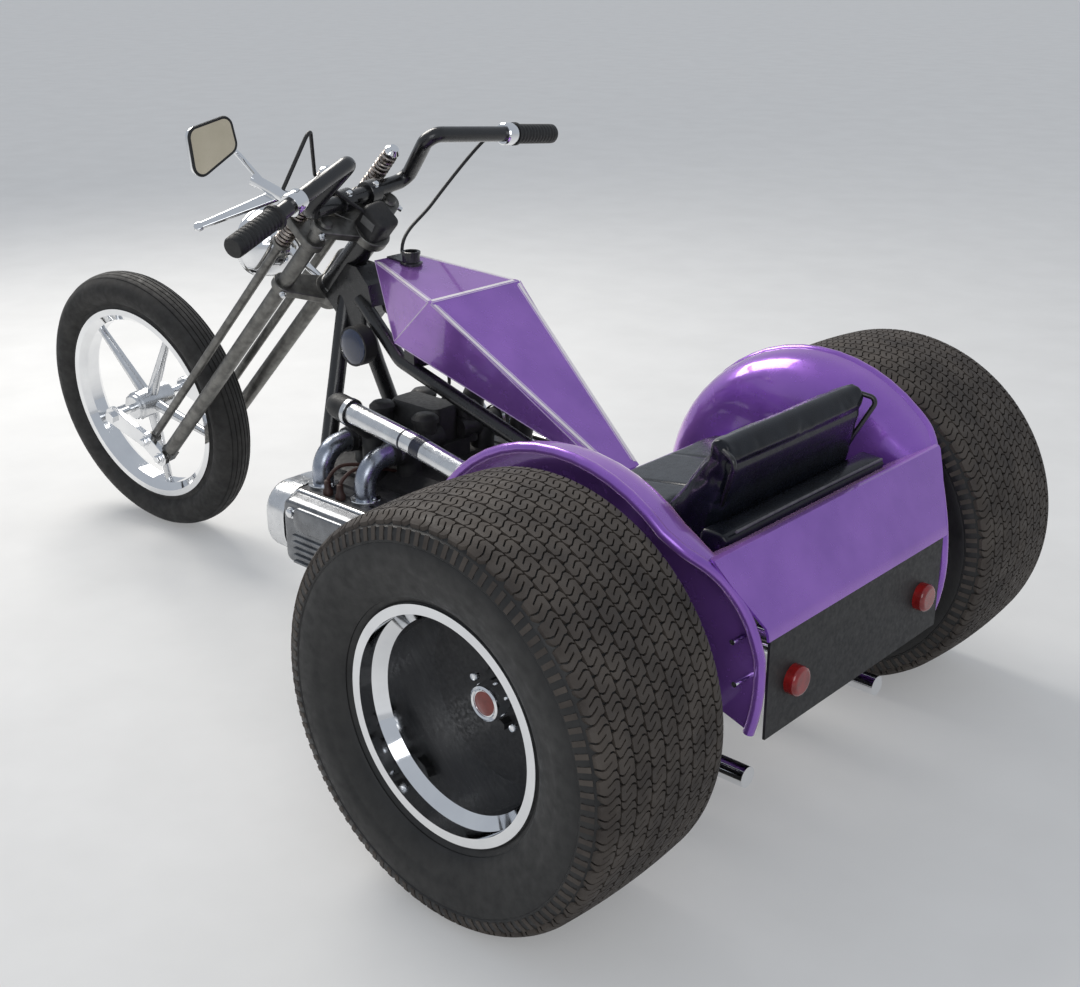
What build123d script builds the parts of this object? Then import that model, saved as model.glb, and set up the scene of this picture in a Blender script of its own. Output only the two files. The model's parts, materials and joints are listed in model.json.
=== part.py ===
from build123d import *
from math import cos, pi, radians, sin, sqrt
import os

# Three-wheeled custom motorcycle. Millimetres, +X forward, +Y to the rider's left, +Z up.
# The origin is on the ground, midway along the vehicle's length.
# Places are given by their distance ahead of the rear axle, to the left and up.

# Rear wheels
rear_tyre_radius = 365.0
rear_tyre_width = 320.0
rear_crown_drop = 9.0
rear_shoulder_radius = 38.0
rear_wheel_y = 585.0
rear_bead_radius = 196.0
rear_lip_radius = 207.0
rear_rim_width = 254.0
rim_wall = 6.0
barrel_step = 19.0
barrel_ledge = 24.0
rear_disc_y = 560.0
rear_disc_thickness = 12.0
rear_drum_radius = 118.0
rear_drum_inner_y = 474.0
wheel_gap = 5.0
running_gap = 0.05
stub_radius = 22.0
stub_end_y = 532.0
rear_cap_radius = 31.0
rear_cap_end_y = 615.0
lug_circle = 114.3
lug_count = 5
lug_nut_radius = 10.5
lug_nut_height = 18.0

# Front wheel
front_tyre_radius = 356.0
front_tyre_width = 100.0
front_tyre_height = 88.0
front_bead_radius = 254.0
front_lip_radius = 265.0
front_rim_width = 62.0
front_well_radius = 232.0
front_well_width = 30.0
spoke_count = 5
spoke_root_diameter = 34.0
spoke_tip_diameter = 24.0
spoke_phase = 20.0
front_hub_radius = 38.0
front_hub_width = 120.0
front_axle_radius = 10.0

# Steering head and fork
rake = 45.0
rest_steer = 8.0
steer_foot_x = 1852.0
axle_ahead = 232.0
rigid_leg_ahead = 55.0
spring_leg_ahead = 115.0
leg_half_spacing = 102.0
rigid_leg_diameter = 36.0
spring_leg_diameter = 21.0
stem_radius = 15.0
neck_bottom = 1100.0
neck_top = 1235.0
neck_radius = 29.0
tree_thickness = 20.0
tree_gap = 2.0
rigid_leg_top = 1330.0

# Frame
rail_diameter = 32.0
down_diameter = 38.0
cradle_y = 110.0
cradle_z = 165.0
down_x = 985.0
axle_tube_radius = 38.0
differential_radius = 112.0
differential_half_width = 82.0

# Engine
engine_front_x = 885.0
engine_rear_x = 612.0
head_y = 290.0
cover_y = 335.0
engine_axis_z = 342.0


def round_reach(radius, half_width, lean):
    """Farthest reach of a round tyre; lean is the axle's share along that direction."""
    return (radius - half_width) * sqrt(1 - lean * lean) + half_width


rake_cos = cos(radians(rake))
rake_sin = sin(radians(rake))
steer_cos = cos(radians(rest_steer))
steer_sin = sin(radians(rest_steer))
front_round = front_tyre_height / 2
axle_z = round_reach(front_tyre_radius, front_round, rake_sin * steer_sin)
axle_up = (axle_z - axle_ahead * rake_sin * steer_cos) / rake_cos
axle_x = steer_foot_x - axle_up * rake_sin + axle_ahead * rake_cos * steer_cos
nose_x = axle_x + round_reach(front_tyre_radius, front_round, rake_cos * steer_sin)
rear_axle_x = (rear_tyre_radius - nose_x) / 2


def at(x, y, z):
    """A point by its distance ahead of the rear axle, to the left, and up."""
    return Vector(rear_axle_x + x, y, z)


def side(y):
    """An upright plane along the vehicle: x ahead of the rear axle, y up, facing right."""
    return Plane(origin=at(0, y, 0), x_dir=(1, 0, 0), z_dir=(0, -1, 0))


def across(x):
    """An upright plane across the vehicle: x to the left, y up, facing forward."""
    return Plane(origin=at(x, 0, 0), x_dir=(0, 1, 0), z_dir=(1, 0, 0))


def level(z):
    """A level plane: x ahead of the rear axle, y to the left, facing up."""
    return Plane(origin=at(0, 0, z), x_dir=(1, 0, 0), z_dir=(0, 0, 1))


steer_axis = Vector(-rake_sin, 0, rake_cos)
steer_ahead = Vector(rake_cos * steer_cos, steer_sin, rake_sin * steer_cos)
fork = Plane(origin=at(steer_foot_x, 0, 0), x_dir=steer_ahead, z_dir=steer_axis)
steer_left = fork.y_dir


def on_fork(ahead, left, up):
    """A point by its distance ahead of the steering axis, to its left, and up along it."""
    return fork.from_local_coords(Vector(ahead, left, up))


def fork_level(up):
    """A plane square to the steering axis: x ahead, y to the left."""
    return fork.offset(up)


def fork_side(left):
    """A plane along the fork: x ahead of the steering axis, y up along it, facing right."""
    return Plane(origin=on_fork(0, left, 0), x_dir=steer_ahead, z_dir=-steer_left)


def tube(points, bend, diameter):
    """A round tube along the points, its corners bent to one radius."""
    with BuildLine() as route:
        FilletPolyline(*points, radius=bend)
    with BuildSketch(Plane(origin=route.line @ 0, z_dir=route.line % 0)) as section:
        Circle(diameter / 2)
    sweep(section.sketch, path=route.line)


def rod(start, end, diameter, end_diameter=None):
    """A straight round bar between two points, tapered if it has an end diameter."""
    start = Vector(start)
    run = Vector(end) - start
    with BuildSketch(Plane(origin=start, z_dir=run)) as foot:
        Circle(diameter / 2)
    if end_diameter is None:
        extrude(foot.sketch, amount=run.length)
    else:
        with BuildSketch(Plane(origin=start + run, z_dir=run)) as head:
            Circle(end_diameter / 2)
        loft([foot.sketch, head.sketch])


def block(x_range, y_range, z_range, edge=0.0):
    """A box between three pairs of limits, its upright edges rounded."""
    with BuildSketch(level(z_range[0])) as outline:
        with Locations(((x_range[0] + x_range[1]) / 2, (y_range[0] + y_range[1]) / 2)):
            if edge:
                RectangleRounded(x_range[1] - x_range[0], y_range[1] - y_range[0], edge)
            else:
                Rectangle(x_range[1] - x_range[0], y_range[1] - y_range[0])
    extrude(outline.sketch, amount=z_range[1] - z_range[0])


def save(part, name):
    """Label a finished piece and write it."""
    part.label = name
    export_step(part, f"parts/{name}.step")


os.makedirs("parts", exist_ok=True)

# Rear wheels: a wide flat tyre, a deep stepped barrel, a centre disc with its drum, a cap
half_tread = rear_tyre_width / 2
half_rim = rear_rim_width / 2
barrel_outer = rear_bead_radius - barrel_step
barrel_inner = barrel_outer - rim_wall
lip_inner = rear_bead_radius - rim_wall
disc_out = rear_disc_y - rear_wheel_y

for name, sign in (("left", 1), ("right", -1)):
    centre = at(0, sign * rear_wheel_y, rear_tyre_radius)
    section = Plane(origin=centre, x_dir=(1, 0, 0), z_dir=(0, 0, sign))
    wheel_axis = Axis(centre, (0, 1, 0))
    face = Plane(origin=centre, x_dir=(1, 0, 0), z_dir=(0, sign, 0))

    with BuildPart() as rear_tyre:
        with BuildSketch(section) as profile:
            with BuildLine():
                shoulder = rear_tyre_radius - rear_crown_drop
                ThreePointArc((shoulder, -half_tread), (rear_tyre_radius, 0), (shoulder, half_tread))
                Polyline(
                    (shoulder, half_tread),
                    (rear_bead_radius + 60, half_tread),
                    (rear_lip_radius + 3, half_rim),
                    (rear_bead_radius, half_rim),
                    (rear_bead_radius, -half_rim),
                    (rear_lip_radius + 3, -half_rim),
                    (rear_bead_radius + 60, -half_tread),
                    (shoulder, -half_tread),
                )
            make_face()
            corners = profile.vertices().sort_by_distance(centre)
            fillet(corners[-2:], rear_shoulder_radius)
            sidewall = profile.vertices().filter_by(lambda v: abs(
                (v.center() - centre).X - rear_bead_radius - 60) < 1)
            fillet(sidewall, rear_shoulder_radius)
        revolve(axis=wheel_axis)
    save(rear_tyre.part, f"rear_tyre_{name}")

    with BuildPart() as rear_rim:
        with BuildSketch(section):
            with BuildLine():
                Polyline(
                    (rear_lip_radius, half_rim + rim_wall),
                    (rear_lip_radius, half_rim),
                    (rear_bead_radius, half_rim),
                    (rear_bead_radius, half_rim - barrel_ledge),
                    (barrel_outer, half_rim - barrel_ledge - barrel_step),
                    (barrel_outer, -half_rim + barrel_ledge + barrel_step),
                    (rear_bead_radius, -half_rim + barrel_ledge),
                    (rear_bead_radius, -half_rim),
                    (rear_lip_radius, -half_rim),
                    (rear_lip_radius, -half_rim - rim_wall),
                    (lip_inner, -half_rim - rim_wall),
                    (lip_inner, -half_rim + barrel_ledge - rim_wall / 2),
                    (barrel_inner, -half_rim + barrel_ledge + barrel_step - rim_wall / 2),
                    (barrel_inner, half_rim - barrel_ledge - barrel_step + rim_wall / 2),
                    (lip_inner, half_rim - barrel_ledge + rim_wall / 2),
                    (lip_inner, half_rim + rim_wall),
                    close=True,
                )
            make_face()
        revolve(axis=wheel_axis)
    save(rear_rim.part, f"rear_rim_{name}")

    with BuildPart() as rear_centre:
        with BuildSketch(face.offset(disc_out)):
            Circle(barrel_inner)
        extrude(amount=-rear_disc_thickness)
        with BuildSketch(face.offset(disc_out - rear_disc_thickness)):
            Circle(rear_drum_radius)
        extrude(amount=rear_drum_inner_y - rear_disc_y + rear_disc_thickness)
        with BuildSketch(face.offset(disc_out)):
            with PolarLocations(lug_circle / 2, lug_count, start_angle=18):
                RegularPolygon(lug_nut_radius, 6)
        extrude(amount=lug_nut_height)
        with BuildSketch(face.offset(rear_drum_inner_y - rear_wheel_y)):
            Circle(stub_radius + running_gap)
        extrude(amount=stub_end_y + wheel_gap - rear_drum_inner_y, mode=Mode.SUBTRACT)
    save(rear_centre.part, f"rear_centre_{name}")

    with BuildPart() as rear_cap:
        with BuildSketch(face.offset(disc_out)):
            Circle(rear_cap_radius)
        extrude(amount=rear_cap_end_y - rear_disc_y)
        fillet(rear_cap.faces().sort_by(Axis((0, 0, 0), (0, sign, 0)))[-1].edges(), 6)
    save(rear_cap.part, f"rear_cap_{name}")

# Front wheel: round-section tyre, chrome channel rim, hub with tapered tubular spokes
front_centre = on_fork(axle_ahead, 0, axle_up)
front_section = Plane(origin=front_centre, x_dir=steer_ahead, z_dir=steer_axis)
front_face = Plane(origin=front_centre, x_dir=steer_ahead, z_dir=steer_left)
front_axis = Axis(front_centre, steer_left)
half_front_rim = front_rim_width / 2

with BuildPart() as front_tyre:
    with BuildSketch(front_section):
        with Locations((front_tyre_radius - front_round, 0)):
            Ellipse(front_round, front_tyre_width / 2)
        with Locations(((front_tyre_radius + front_bead_radius) / 2 - front_round / 2, 0)):
            Rectangle(front_tyre_radius - front_bead_radius - front_round, front_rim_width)
        with Locations((front_bead_radius - front_tyre_width / 2, 0)):
            Rectangle(front_tyre_width, front_tyre_width, mode=Mode.SUBTRACT)
    revolve(axis=front_axis)
save(front_tyre.part, "front_tyre")

with BuildPart() as front_rim:
    with BuildSketch(front_section):
        with BuildLine():
            Polyline(
                (front_lip_radius, half_front_rim + 4),
                (front_lip_radius, half_front_rim),
                (front_bead_radius, half_front_rim),
                (front_well_radius + 5, front_well_width / 2),
                (front_well_radius + 5, -front_well_width / 2),
                (front_bead_radius, -half_front_rim),
                (front_lip_radius, -half_front_rim),
                (front_lip_radius, -half_front_rim - 4),
                (front_bead_radius - 5, -half_front_rim - 4),
                (front_well_radius, -front_well_width / 2 - 3),
                (front_well_radius, front_well_width / 2 + 3),
                (front_bead_radius - 5, half_front_rim + 4),
                close=True,
            )
        make_face()
    revolve(axis=front_axis)
save(front_rim.part, "front_rim")

with BuildPart() as front_spider:
    with BuildSketch(front_face.offset(-front_hub_width / 2)):
        Circle(front_hub_radius)
        Circle(front_axle_radius + running_gap, mode=Mode.SUBTRACT)
    extrude(amount=front_hub_width)
    for count in range(spoke_count):
        turn = radians(spoke_phase + count * 360 / spoke_count)
        radial = steer_ahead * cos(turn) + steer_axis * sin(turn)
        rod(
            front_centre + radial * (front_hub_radius - 8),
            front_centre + radial * front_well_radius,
            spoke_root_diameter,
            spoke_tip_diameter,
        )
    with BuildSketch(front_face.offset(-front_hub_width / 2)):
        Circle(front_axle_radius + running_gap)
    extrude(amount=front_hub_width, mode=Mode.SUBTRACT)
    with BuildSketch(front_face.offset(-front_hub_width)):
        Circle(front_lip_radius)
        Circle(front_well_radius, mode=Mode.SUBTRACT)
    extrude(amount=2 * front_hub_width, mode=Mode.SUBTRACT)
save(front_spider.part, "front_spokes")

# Fork: stem and trees, rigid rear legs, sprung front legs, rockers that carry the axle
leg_foot = 330.0
boss_width = 24.0
lug_length = 30.0
rocker_thickness = 14.0
rocker_y = leg_half_spacing + boss_width / 2
axle_half = rocker_y + rocker_thickness
nut_height = 11.0
tree_half_width = 128.0
perch_ahead = 142.0
lower_tree_top = neck_bottom - tree_gap
upper_tree_bottom = neck_top + tree_gap
upper_tree_top = upper_tree_bottom + tree_thickness
rod_diameter = 14.0
lower_spring_bottom = 1172.0
upper_spring_top = 1392.0
spring_wire = 8.0
spring_radius = 16.0
bar_diameter = 30.0

with BuildPart() as front_axle:
    with BuildSketch(front_face.offset(-axle_half - nut_height)):
        Circle(front_axle_radius)
    extrude(amount=2 * (axle_half + nut_height))
    for direction in (1, -1):
        with BuildSketch(front_face.offset(direction * axle_half)):
            RegularPolygon(16, 6)
        extrude(amount=direction * nut_height)
save(front_axle.part, "front_axle")

with BuildPart() as rockers:
    for direction in (1, -1):
        plane = fork_side(direction * (rocker_y + rocker_thickness / 2) + rocker_thickness / 2)
        with BuildSketch(plane) as outline:
            with BuildLine():
                Polyline(
                    (rigid_leg_ahead - 22, leg_foot - 14),
                    (rigid_leg_ahead - 14, leg_foot + 20),
                    (spring_leg_ahead + 8, leg_foot + 16),
                    (axle_ahead + 18, axle_up + 20),
                    (axle_ahead + 20, axle_up - 18),
                    (axle_ahead - 14, axle_up - 22),
                    (spring_leg_ahead, leg_foot - 34),
                    close=True,
                )
            make_face()
            fillet(outline.vertices(), 9)
            with Locations((axle_ahead, axle_up)):
                Circle(front_axle_radius, mode=Mode.SUBTRACT)
        extrude(amount=rocker_thickness)
        outer = fork_side(direction * (rocker_y + rocker_thickness))
        with BuildSketch(outer):
            with Locations((rigid_leg_ahead, leg_foot), (spring_leg_ahead, leg_foot)):
                RegularPolygon(12, 6)
        extrude(amount=-direction * nut_height)
save(rockers.part, "fork_rockers")

with BuildPart() as fork_legs:
    for direction in (1, -1):
        left = direction * leg_half_spacing
        rod(
            on_fork(rigid_leg_ahead, left, leg_foot + lug_length),
            on_fork(rigid_leg_ahead, left, upper_tree_top + 10),
            rigid_leg_diameter,
        )
        rod(
            on_fork(spring_leg_ahead, left, leg_foot),
            on_fork(spring_leg_ahead, left, lower_spring_bottom),
            spring_leg_diameter,
        )
        rod(
            on_fork(spring_leg_ahead, left, lower_spring_bottom - 5),
            on_fork(spring_leg_ahead, left, upper_spring_top + 8),
            rod_diameter,
        )
        with BuildSketch(fork_level(lower_spring_bottom - 10)):
            with Locations((spring_leg_ahead, left)):
                Circle(spring_radius + spring_wire / 2)
        extrude(amount=10)
        with BuildSketch(fork_side(left + boss_width / 2)):
            with Locations((rigid_leg_ahead, leg_foot)):
                Circle(rigid_leg_diameter / 2)
            with Locations((rigid_leg_ahead, leg_foot + lug_length / 2)):
                Rectangle(rigid_leg_diameter, lug_length)
            with Locations((spring_leg_ahead, leg_foot)):
                Circle(15)
        extrude(amount=boss_width)
save(fork_legs.part, "fork_legs")

with BuildPart() as trees:
    with BuildSketch(fork_level(lower_tree_top - tree_thickness)):
        with Locations((rigid_leg_ahead / 2, 0)):
            RectangleRounded(rigid_leg_ahead + 76, 2 * tree_half_width, 24)
        with Locations((rigid_leg_ahead, leg_half_spacing), (rigid_leg_ahead, -leg_half_spacing)):
            Circle(rigid_leg_diameter / 2, mode=Mode.SUBTRACT)
    extrude(amount=tree_thickness)
    with BuildSketch(fork_level(upper_tree_bottom)):
        with Locations(((perch_ahead - 30) / 2, 0)):
            RectangleRounded(perch_ahead + 30, 2 * tree_half_width, 24)
        with Locations((rigid_leg_ahead, leg_half_spacing), (rigid_leg_ahead, -leg_half_spacing)):
            Circle(rigid_leg_diameter / 2, mode=Mode.SUBTRACT)
        with Locations((spring_leg_ahead, leg_half_spacing), (spring_leg_ahead, -leg_half_spacing)):
            Circle(rod_diameter / 2, mode=Mode.SUBTRACT)
    extrude(amount=tree_thickness)
    with BuildSketch(fork_level(lower_tree_top)):
        Circle(stem_radius)
    extrude(amount=upper_tree_bottom - lower_tree_top)
save(trees.part, "fork_trees")

with BuildPart() as springs:
    for direction in (1, -1):
        for bottom, top in (
            (lower_spring_bottom, upper_tree_bottom),
            (upper_tree_top, upper_spring_top),
        ):
            base = on_fork(spring_leg_ahead, direction * leg_half_spacing, bottom)
            turns = int((top - bottom) / (spring_wire * 1.25))
            pitch = (top - bottom - spring_wire) / (turns - 1)
            with BuildSketch(Plane(origin=base, x_dir=steer_ahead, z_dir=-steer_left)):
                for turn in range(turns):
                    with Locations((spring_radius, spring_wire / 2 + turn * pitch)):
                        Circle(spring_wire / 2)
                with Locations((spring_radius - 2, (top - bottom) / 2)):
                    Rectangle(4, top - bottom - spring_wire)
            revolve(axis=Axis(base, steer_axis))
        cap = on_fork(spring_leg_ahead, direction * leg_half_spacing, upper_spring_top)
        rod(cap - steer_axis, cap + steer_axis * 14, 34, 22)
    add(fork_legs.part, mode=Mode.SUBTRACT)
save(springs.part, "fork_springs")

# Handlebar: a base across the risers, rising to swept ends
bar_base_ahead = 78.0
bar_base_up = 1326.0
bar_base_left = 163.0
bar_top_ahead = 75.0
bar_top_left = 118.0
bar_top_up = 1505.0
bar_end_ahead = -6.0
bar_end_left = 497.0
bar_end_up = 1480.0
bar_bend = 42.0
grip_length = 125.0
grip_diameter = 38.0


def bar_point(direction, distance):
    """A point on the bar's end run, this far in from its tip, on the left (1) or right (-1)."""
    tip = on_fork(bar_end_ahead, direction * bar_end_left, bar_end_up)
    bend = on_fork(bar_top_ahead, direction * bar_top_left, bar_top_up)
    return tip + (bend - tip).normalized() * distance


with BuildPart() as handlebar:
    tube(
        [
            on_fork(bar_end_ahead, bar_end_left, bar_end_up),
            on_fork(bar_top_ahead, bar_top_left, bar_top_up),
            on_fork(bar_base_ahead, bar_base_left, bar_base_up),
            on_fork(bar_base_ahead, -bar_base_left, bar_base_up),
            on_fork(bar_top_ahead, -bar_top_left, bar_top_up),
            on_fork(bar_end_ahead, -bar_end_left, bar_end_up),
        ],
        bar_bend,
        bar_diameter,
    )
save(handlebar.part, "handlebar")

with BuildPart() as risers:
    for left in (42, -42):
        rod(
            on_fork(bar_base_ahead - 8, left, upper_tree_top),
            on_fork(bar_base_ahead, left, bar_base_up),
            32,
        )
        with BuildSketch(fork_side(left + 17)):
            with Locations((bar_base_ahead, bar_base_up)):
                Circle(bar_diameter / 2 + 10)
        extrude(amount=34)
    with BuildSketch(fork_side(100)):
        with Locations((bar_base_ahead, bar_base_up)):
            Circle(bar_diameter / 2)
    extrude(amount=200, mode=Mode.SUBTRACT)
    add(trees.part, mode=Mode.SUBTRACT)
save(risers.part, "bar_risers")

with BuildPart() as grips:
    for direction in (1, -1):
        rod(bar_point(direction, grip_length), bar_point(direction, -6), grip_diameter)
        rod(bar_point(direction, grip_length), bar_point(direction, grip_length - 8), grip_diameter + 8)
    for direction in (1, -1):
        run = bar_point(direction, 0) - bar_point(direction, grip_length)
        with BuildSketch(Plane(origin=bar_point(direction, grip_length), z_dir=run)):
            Circle(bar_diameter / 2)
        extrude(amount=grip_length, mode=Mode.SUBTRACT)
save(grips.part, "grips")

perch_at = 200.0
perch_length = 30.0

with BuildPart() as controls:
    rod(bar_point(-1, grip_length + 32), bar_point(-1, grip_length + 2), 44)
    rod(bar_point(1, perch_at), bar_point(1, perch_at - perch_length), 42)
    perch = bar_point(1, perch_at - perch_length / 2)
    forward = (steer_ahead - steer_axis).normalized()
    rod(perch, perch + forward * 48, 22)
    for direction in (1, -1):
        with BuildSketch(Plane(
            origin=bar_point(direction, 0), z_dir=bar_point(direction, 1) - bar_point(direction, 0)
        )):
            Circle(bar_diameter / 2)
        extrude(amount=300, mode=Mode.SUBTRACT)
save(controls.part, "bar_controls")

lever_root = perch + forward * 48
lever_tip = on_fork(107, 450, 1378)

with BuildPart() as clutch_lever:
    rod(lever_root + forward * 0.5, lever_root + forward * 16, 24)
    rod(lever_root + forward * 8, lever_tip, 15, 10)
    with Locations(lever_tip):
        Sphere(9)
save(clutch_lever.part, "clutch_lever")

# Mirror: rounded shell on a bent stem from the left perch
mirror_centre = on_fork(205, 385, 1490)
mirror_width = 128.0
mirror_height = 82.0
mirror_depth = 22.0
mirror_plane = Plane(origin=mirror_centre, x_dir=(0, 1, 0), z_dir=(1, 0, 0))

with BuildPart() as mirror_glass:
    with BuildSketch(mirror_plane.offset(-3)):
        RectangleRounded(mirror_width - 10, mirror_height - 10, 16)
    extrude(amount=3)
save(mirror_glass.part, "mirror_glass")

stem_start = perch + forward * 36 + steer_axis * 11
stem_end = mirror_centre + Vector(mirror_depth, 0, 0)

with BuildPart() as mirror_shell:
    with BuildSketch(mirror_plane):
        RectangleRounded(mirror_width, mirror_height, 20)
    extrude(amount=mirror_depth, taper=18)
    tube(
        [stem_start, stem_start + steer_axis * 45, stem_end + Vector(40, 0, -25), stem_end - Vector(4, 0, 0)],
        12,
        10,
    )
    add(controls.part, mode=Mode.SUBTRACT)
save(mirror_shell.part, "mirror_shell")

# Headlamp on a bracket in front of the lower tree
lamp_centre = on_fork(215, 0, 1045)
lamp_radius = 68.0
lamp_forward = (steer_ahead * rake_cos - steer_axis * rake_sin).normalized()
lamp_plane = Plane(origin=lamp_centre, x_dir=steer_left, z_dir=lamp_forward)

with BuildPart() as lamp_shell:
    with Locations(Location(lamp_plane)):
        Sphere(lamp_radius)
    with BuildSketch(lamp_plane):
        Circle(2 * lamp_radius)
    extrude(amount=lamp_radius, mode=Mode.SUBTRACT)
    with BuildSketch(lamp_plane):
        Circle(lamp_radius)
    extrude(amount=20)
save(lamp_shell.part, "headlamp_shell")

with BuildPart() as lamp_lens:
    with BuildSketch(lamp_plane.offset(20)):
        Circle(lamp_radius - 4)
    extrude(amount=10, taper=25)
save(lamp_lens.part, "headlamp_lens")

with BuildPart() as lamp_bracket:
    rod(
        on_fork(rigid_leg_ahead + 38, 0, lower_tree_top - tree_thickness / 2),
        lamp_centre - lamp_forward * (lamp_radius - 10),
        18,
    )
    add(lamp_shell.part, mode=Mode.SUBTRACT)
    add(trees.part, mode=Mode.SUBTRACT)
save(lamp_bracket.part, "headlamp_bracket")

with BuildPart() as switch_box:
    with BuildSketch(fork_level(upper_tree_top)):
        with Locations((2, 0)):
            RectangleRounded(78, 64, 8)
    extrude(amount=70)
save(switch_box.part, "switch_box")

# Frame: steering head with its gusset, top rails, downtubes, cradle rails
gusset_half_width = 30.0
rail_y = 55.0
seat_rail_y = 110.0
seat_rail_z = 500.0

with BuildPart() as neck:
    with BuildSketch(fork_level(neck_bottom)):
        Circle(neck_radius)
    extrude(amount=neck_top - neck_bottom)
    with BuildSketch(side(gusset_half_width)):
        with BuildLine():
            Polyline((1060, 770), (985, 850), (925, 845), (905, 765), (965, 700), (1040, 722), close=True)
        make_face()
    extrude(amount=2 * gusset_half_width)
    with BuildSketch(fork_level(neck_bottom)):
        Circle(stem_radius + running_gap)
    extrude(amount=neck_top - neck_bottom, mode=Mode.SUBTRACT)
    with BuildSketch(fork_level(neck_bottom - 200)):
        Circle(110)
    extrude(amount=200, mode=Mode.SUBTRACT)
    with BuildSketch(fork_level(neck_top)):
        Circle(110)
    extrude(amount=200, mode=Mode.SUBTRACT)
save(neck.part, "steering_neck")

with BuildPart() as top_rails:
    for direction in (1, -1):
        tube(
            [
                at(950, direction * 24, 775),
                at(790, direction * rail_y, 672),
                at(240, direction * rail_y, 512),
                at(90, direction * seat_rail_y, seat_rail_z),
                at(-250, direction * seat_rail_y, seat_rail_z - 22),
            ],
            70,
            rail_diameter,
        )
    add(neck.part, mode=Mode.SUBTRACT)
save(top_rails.part, "top_rails")

with BuildPart() as downtubes:
    for direction in (1, -1):
        tube(
            [
                at(1012, direction * 12, 770),
                at(1000, direction * 60, 600),
                at(down_x, direction * cradle_y, 440),
                at(down_x, direction * cradle_y, 300),
            ],
            90,
            down_diameter,
        )
    add(neck.part, mode=Mode.SUBTRACT)
save(downtubes.part, "downtubes")

with BuildPart() as cradle:
    for direction in (1, -1):
        tube(
            [
                at(down_x, direction * cradle_y, 300),
                at(down_x, direction * cradle_y, cradle_z),
                at(330, direction * cradle_y, cradle_z),
                at(20, direction * cradle_y, rear_tyre_radius),
            ],
            90,
            down_diameter,
        )
    with BuildSketch(side(-200)):
        with Locations((0, rear_tyre_radius)):
            Circle(axle_tube_radius)
    extrude(amount=-400, mode=Mode.SUBTRACT)
save(cradle.part, "cradle_rails")

# Rear axle: tube with a round differential, backing plates at its ends
axle_housing_half = rear_drum_inner_y - wheel_gap

with BuildPart() as axle_housing:
    with BuildSketch(side(axle_housing_half)):
        with Locations((0, rear_tyre_radius)):
            Circle(axle_tube_radius)
    extrude(amount=2 * axle_housing_half)
    with BuildSketch(side(differential_half_width)):
        with Locations((0, rear_tyre_radius)):
            Circle(differential_radius)
    extrude(amount=2 * differential_half_width)
    chamfer(axle_housing.edges().filter_by(GeomType.CIRCLE).filter_by(
        lambda e: abs(e.radius - differential_radius) < 1), 24)
    for direction in (1, -1):
        with BuildSketch(side(direction * (axle_housing_half - 5) + 5)):
            with Locations((0, rear_tyre_radius)):
                Circle(rear_drum_radius)
        extrude(amount=10)
    with BuildSketch(across(105)):
        with Locations((0, rear_tyre_radius)):
            Circle(48)
    extrude(amount=45)
    for direction in (1, -1):
        rod(at(0, direction * seat_rail_y, rear_tyre_radius), at(0, direction * seat_rail_y, 490), 30)
    with BuildSketch(side(stub_end_y)):
        with Locations((0, rear_tyre_radius)):
            Circle(stub_radius)
    extrude(amount=2 * stub_end_y)
    add(top_rails.part, mode=Mode.SUBTRACT)
    add(cradle.part, mode=Mode.SUBTRACT)
save(axle_housing.part, "axle_housing")

with BuildPart() as shaft:
    rod(at(400, 0, 340), at(150, 0, rear_tyre_radius), 54)
    with BuildSketch(across(105)):
        with Locations((0, rear_tyre_radius)):
            Circle(60)
    extrude(amount=45, mode=Mode.SUBTRACT)
    with BuildSketch(across(400)):
        Rectangle(400, 1000)
    extrude(amount=60, mode=Mode.SUBTRACT)
save(shaft.part, "drive_shaft")

# Engine: flat four with a head each side, two covers in front, a gearbox behind
with BuildPart() as crankcase:
    with BuildSketch(across(engine_rear_x - 12)):
        with BuildLine():
            Polyline(
                (-165, 215), (-165, 430), (-120, 455), (120, 455), (165, 430),
                (165, 215), (86, 195), (86, 150), (-86, 150), (-86, 195), close=True,
            )
        make_face()
    extrude(amount=engine_front_x + 40 - engine_rear_x + 12)
save(crankcase.part, "crankcase")

with BuildPart() as gearbox:
    with BuildSketch(across(400)):
        with Locations((0, 290)):
            RectangleRounded(180, 240, 50)
    extrude(amount=engine_rear_x - 12 - 400)
save(gearbox.part, "gearbox")

head_height = 176.0
with BuildPart() as heads:
    for direction in (1, -1):
        near = 165 if direction > 0 else -head_y
        block((engine_rear_x, engine_front_x), (near, near + head_y - 165),
              (engine_axis_z - head_height / 2, engine_axis_z + head_height / 2))
save(heads.part, "cylinder_heads")

cover_height = 178.0
with BuildPart() as valve_covers:
    for direction in (1, -1):
        plane = side(direction * head_y)
        with BuildSketch(plane):
            with Locations(((engine_front_x + engine_rear_x) / 2, engine_axis_z)):
                RectangleRounded(engine_front_x - engine_rear_x - 6, cover_height - 4, 30)
        extrude(amount=-direction * (cover_y - head_y), taper=14)
save(valve_covers.part, "valve_covers")

with BuildPart() as belt_cover:
    for direction in (1, -1):
        with BuildSketch(across(engine_front_x)):
            with Locations((direction * 236, engine_axis_z)):
                RectangleRounded(180, 196, 62)
        extrude(amount=66)
    with BuildSketch(across(engine_front_x + 40)):
        with Locations((0, engine_axis_z)):
            Rectangle(400, 130)
    extrude(amount=26)
    add(crankcase.part, mode=Mode.SUBTRACT)
save(belt_cover.part, "belt_covers")

# Induction: carburettors over the crankcase, four bent runners down to the heads
runner_xs = (848.0, 712.0)
runner_y = 240.0
runner_top = 518.0
runner_diameter = 50.0
boot_y = 152.0
carb_y = 122.0
head_top = engine_axis_z + head_height / 2

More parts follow.
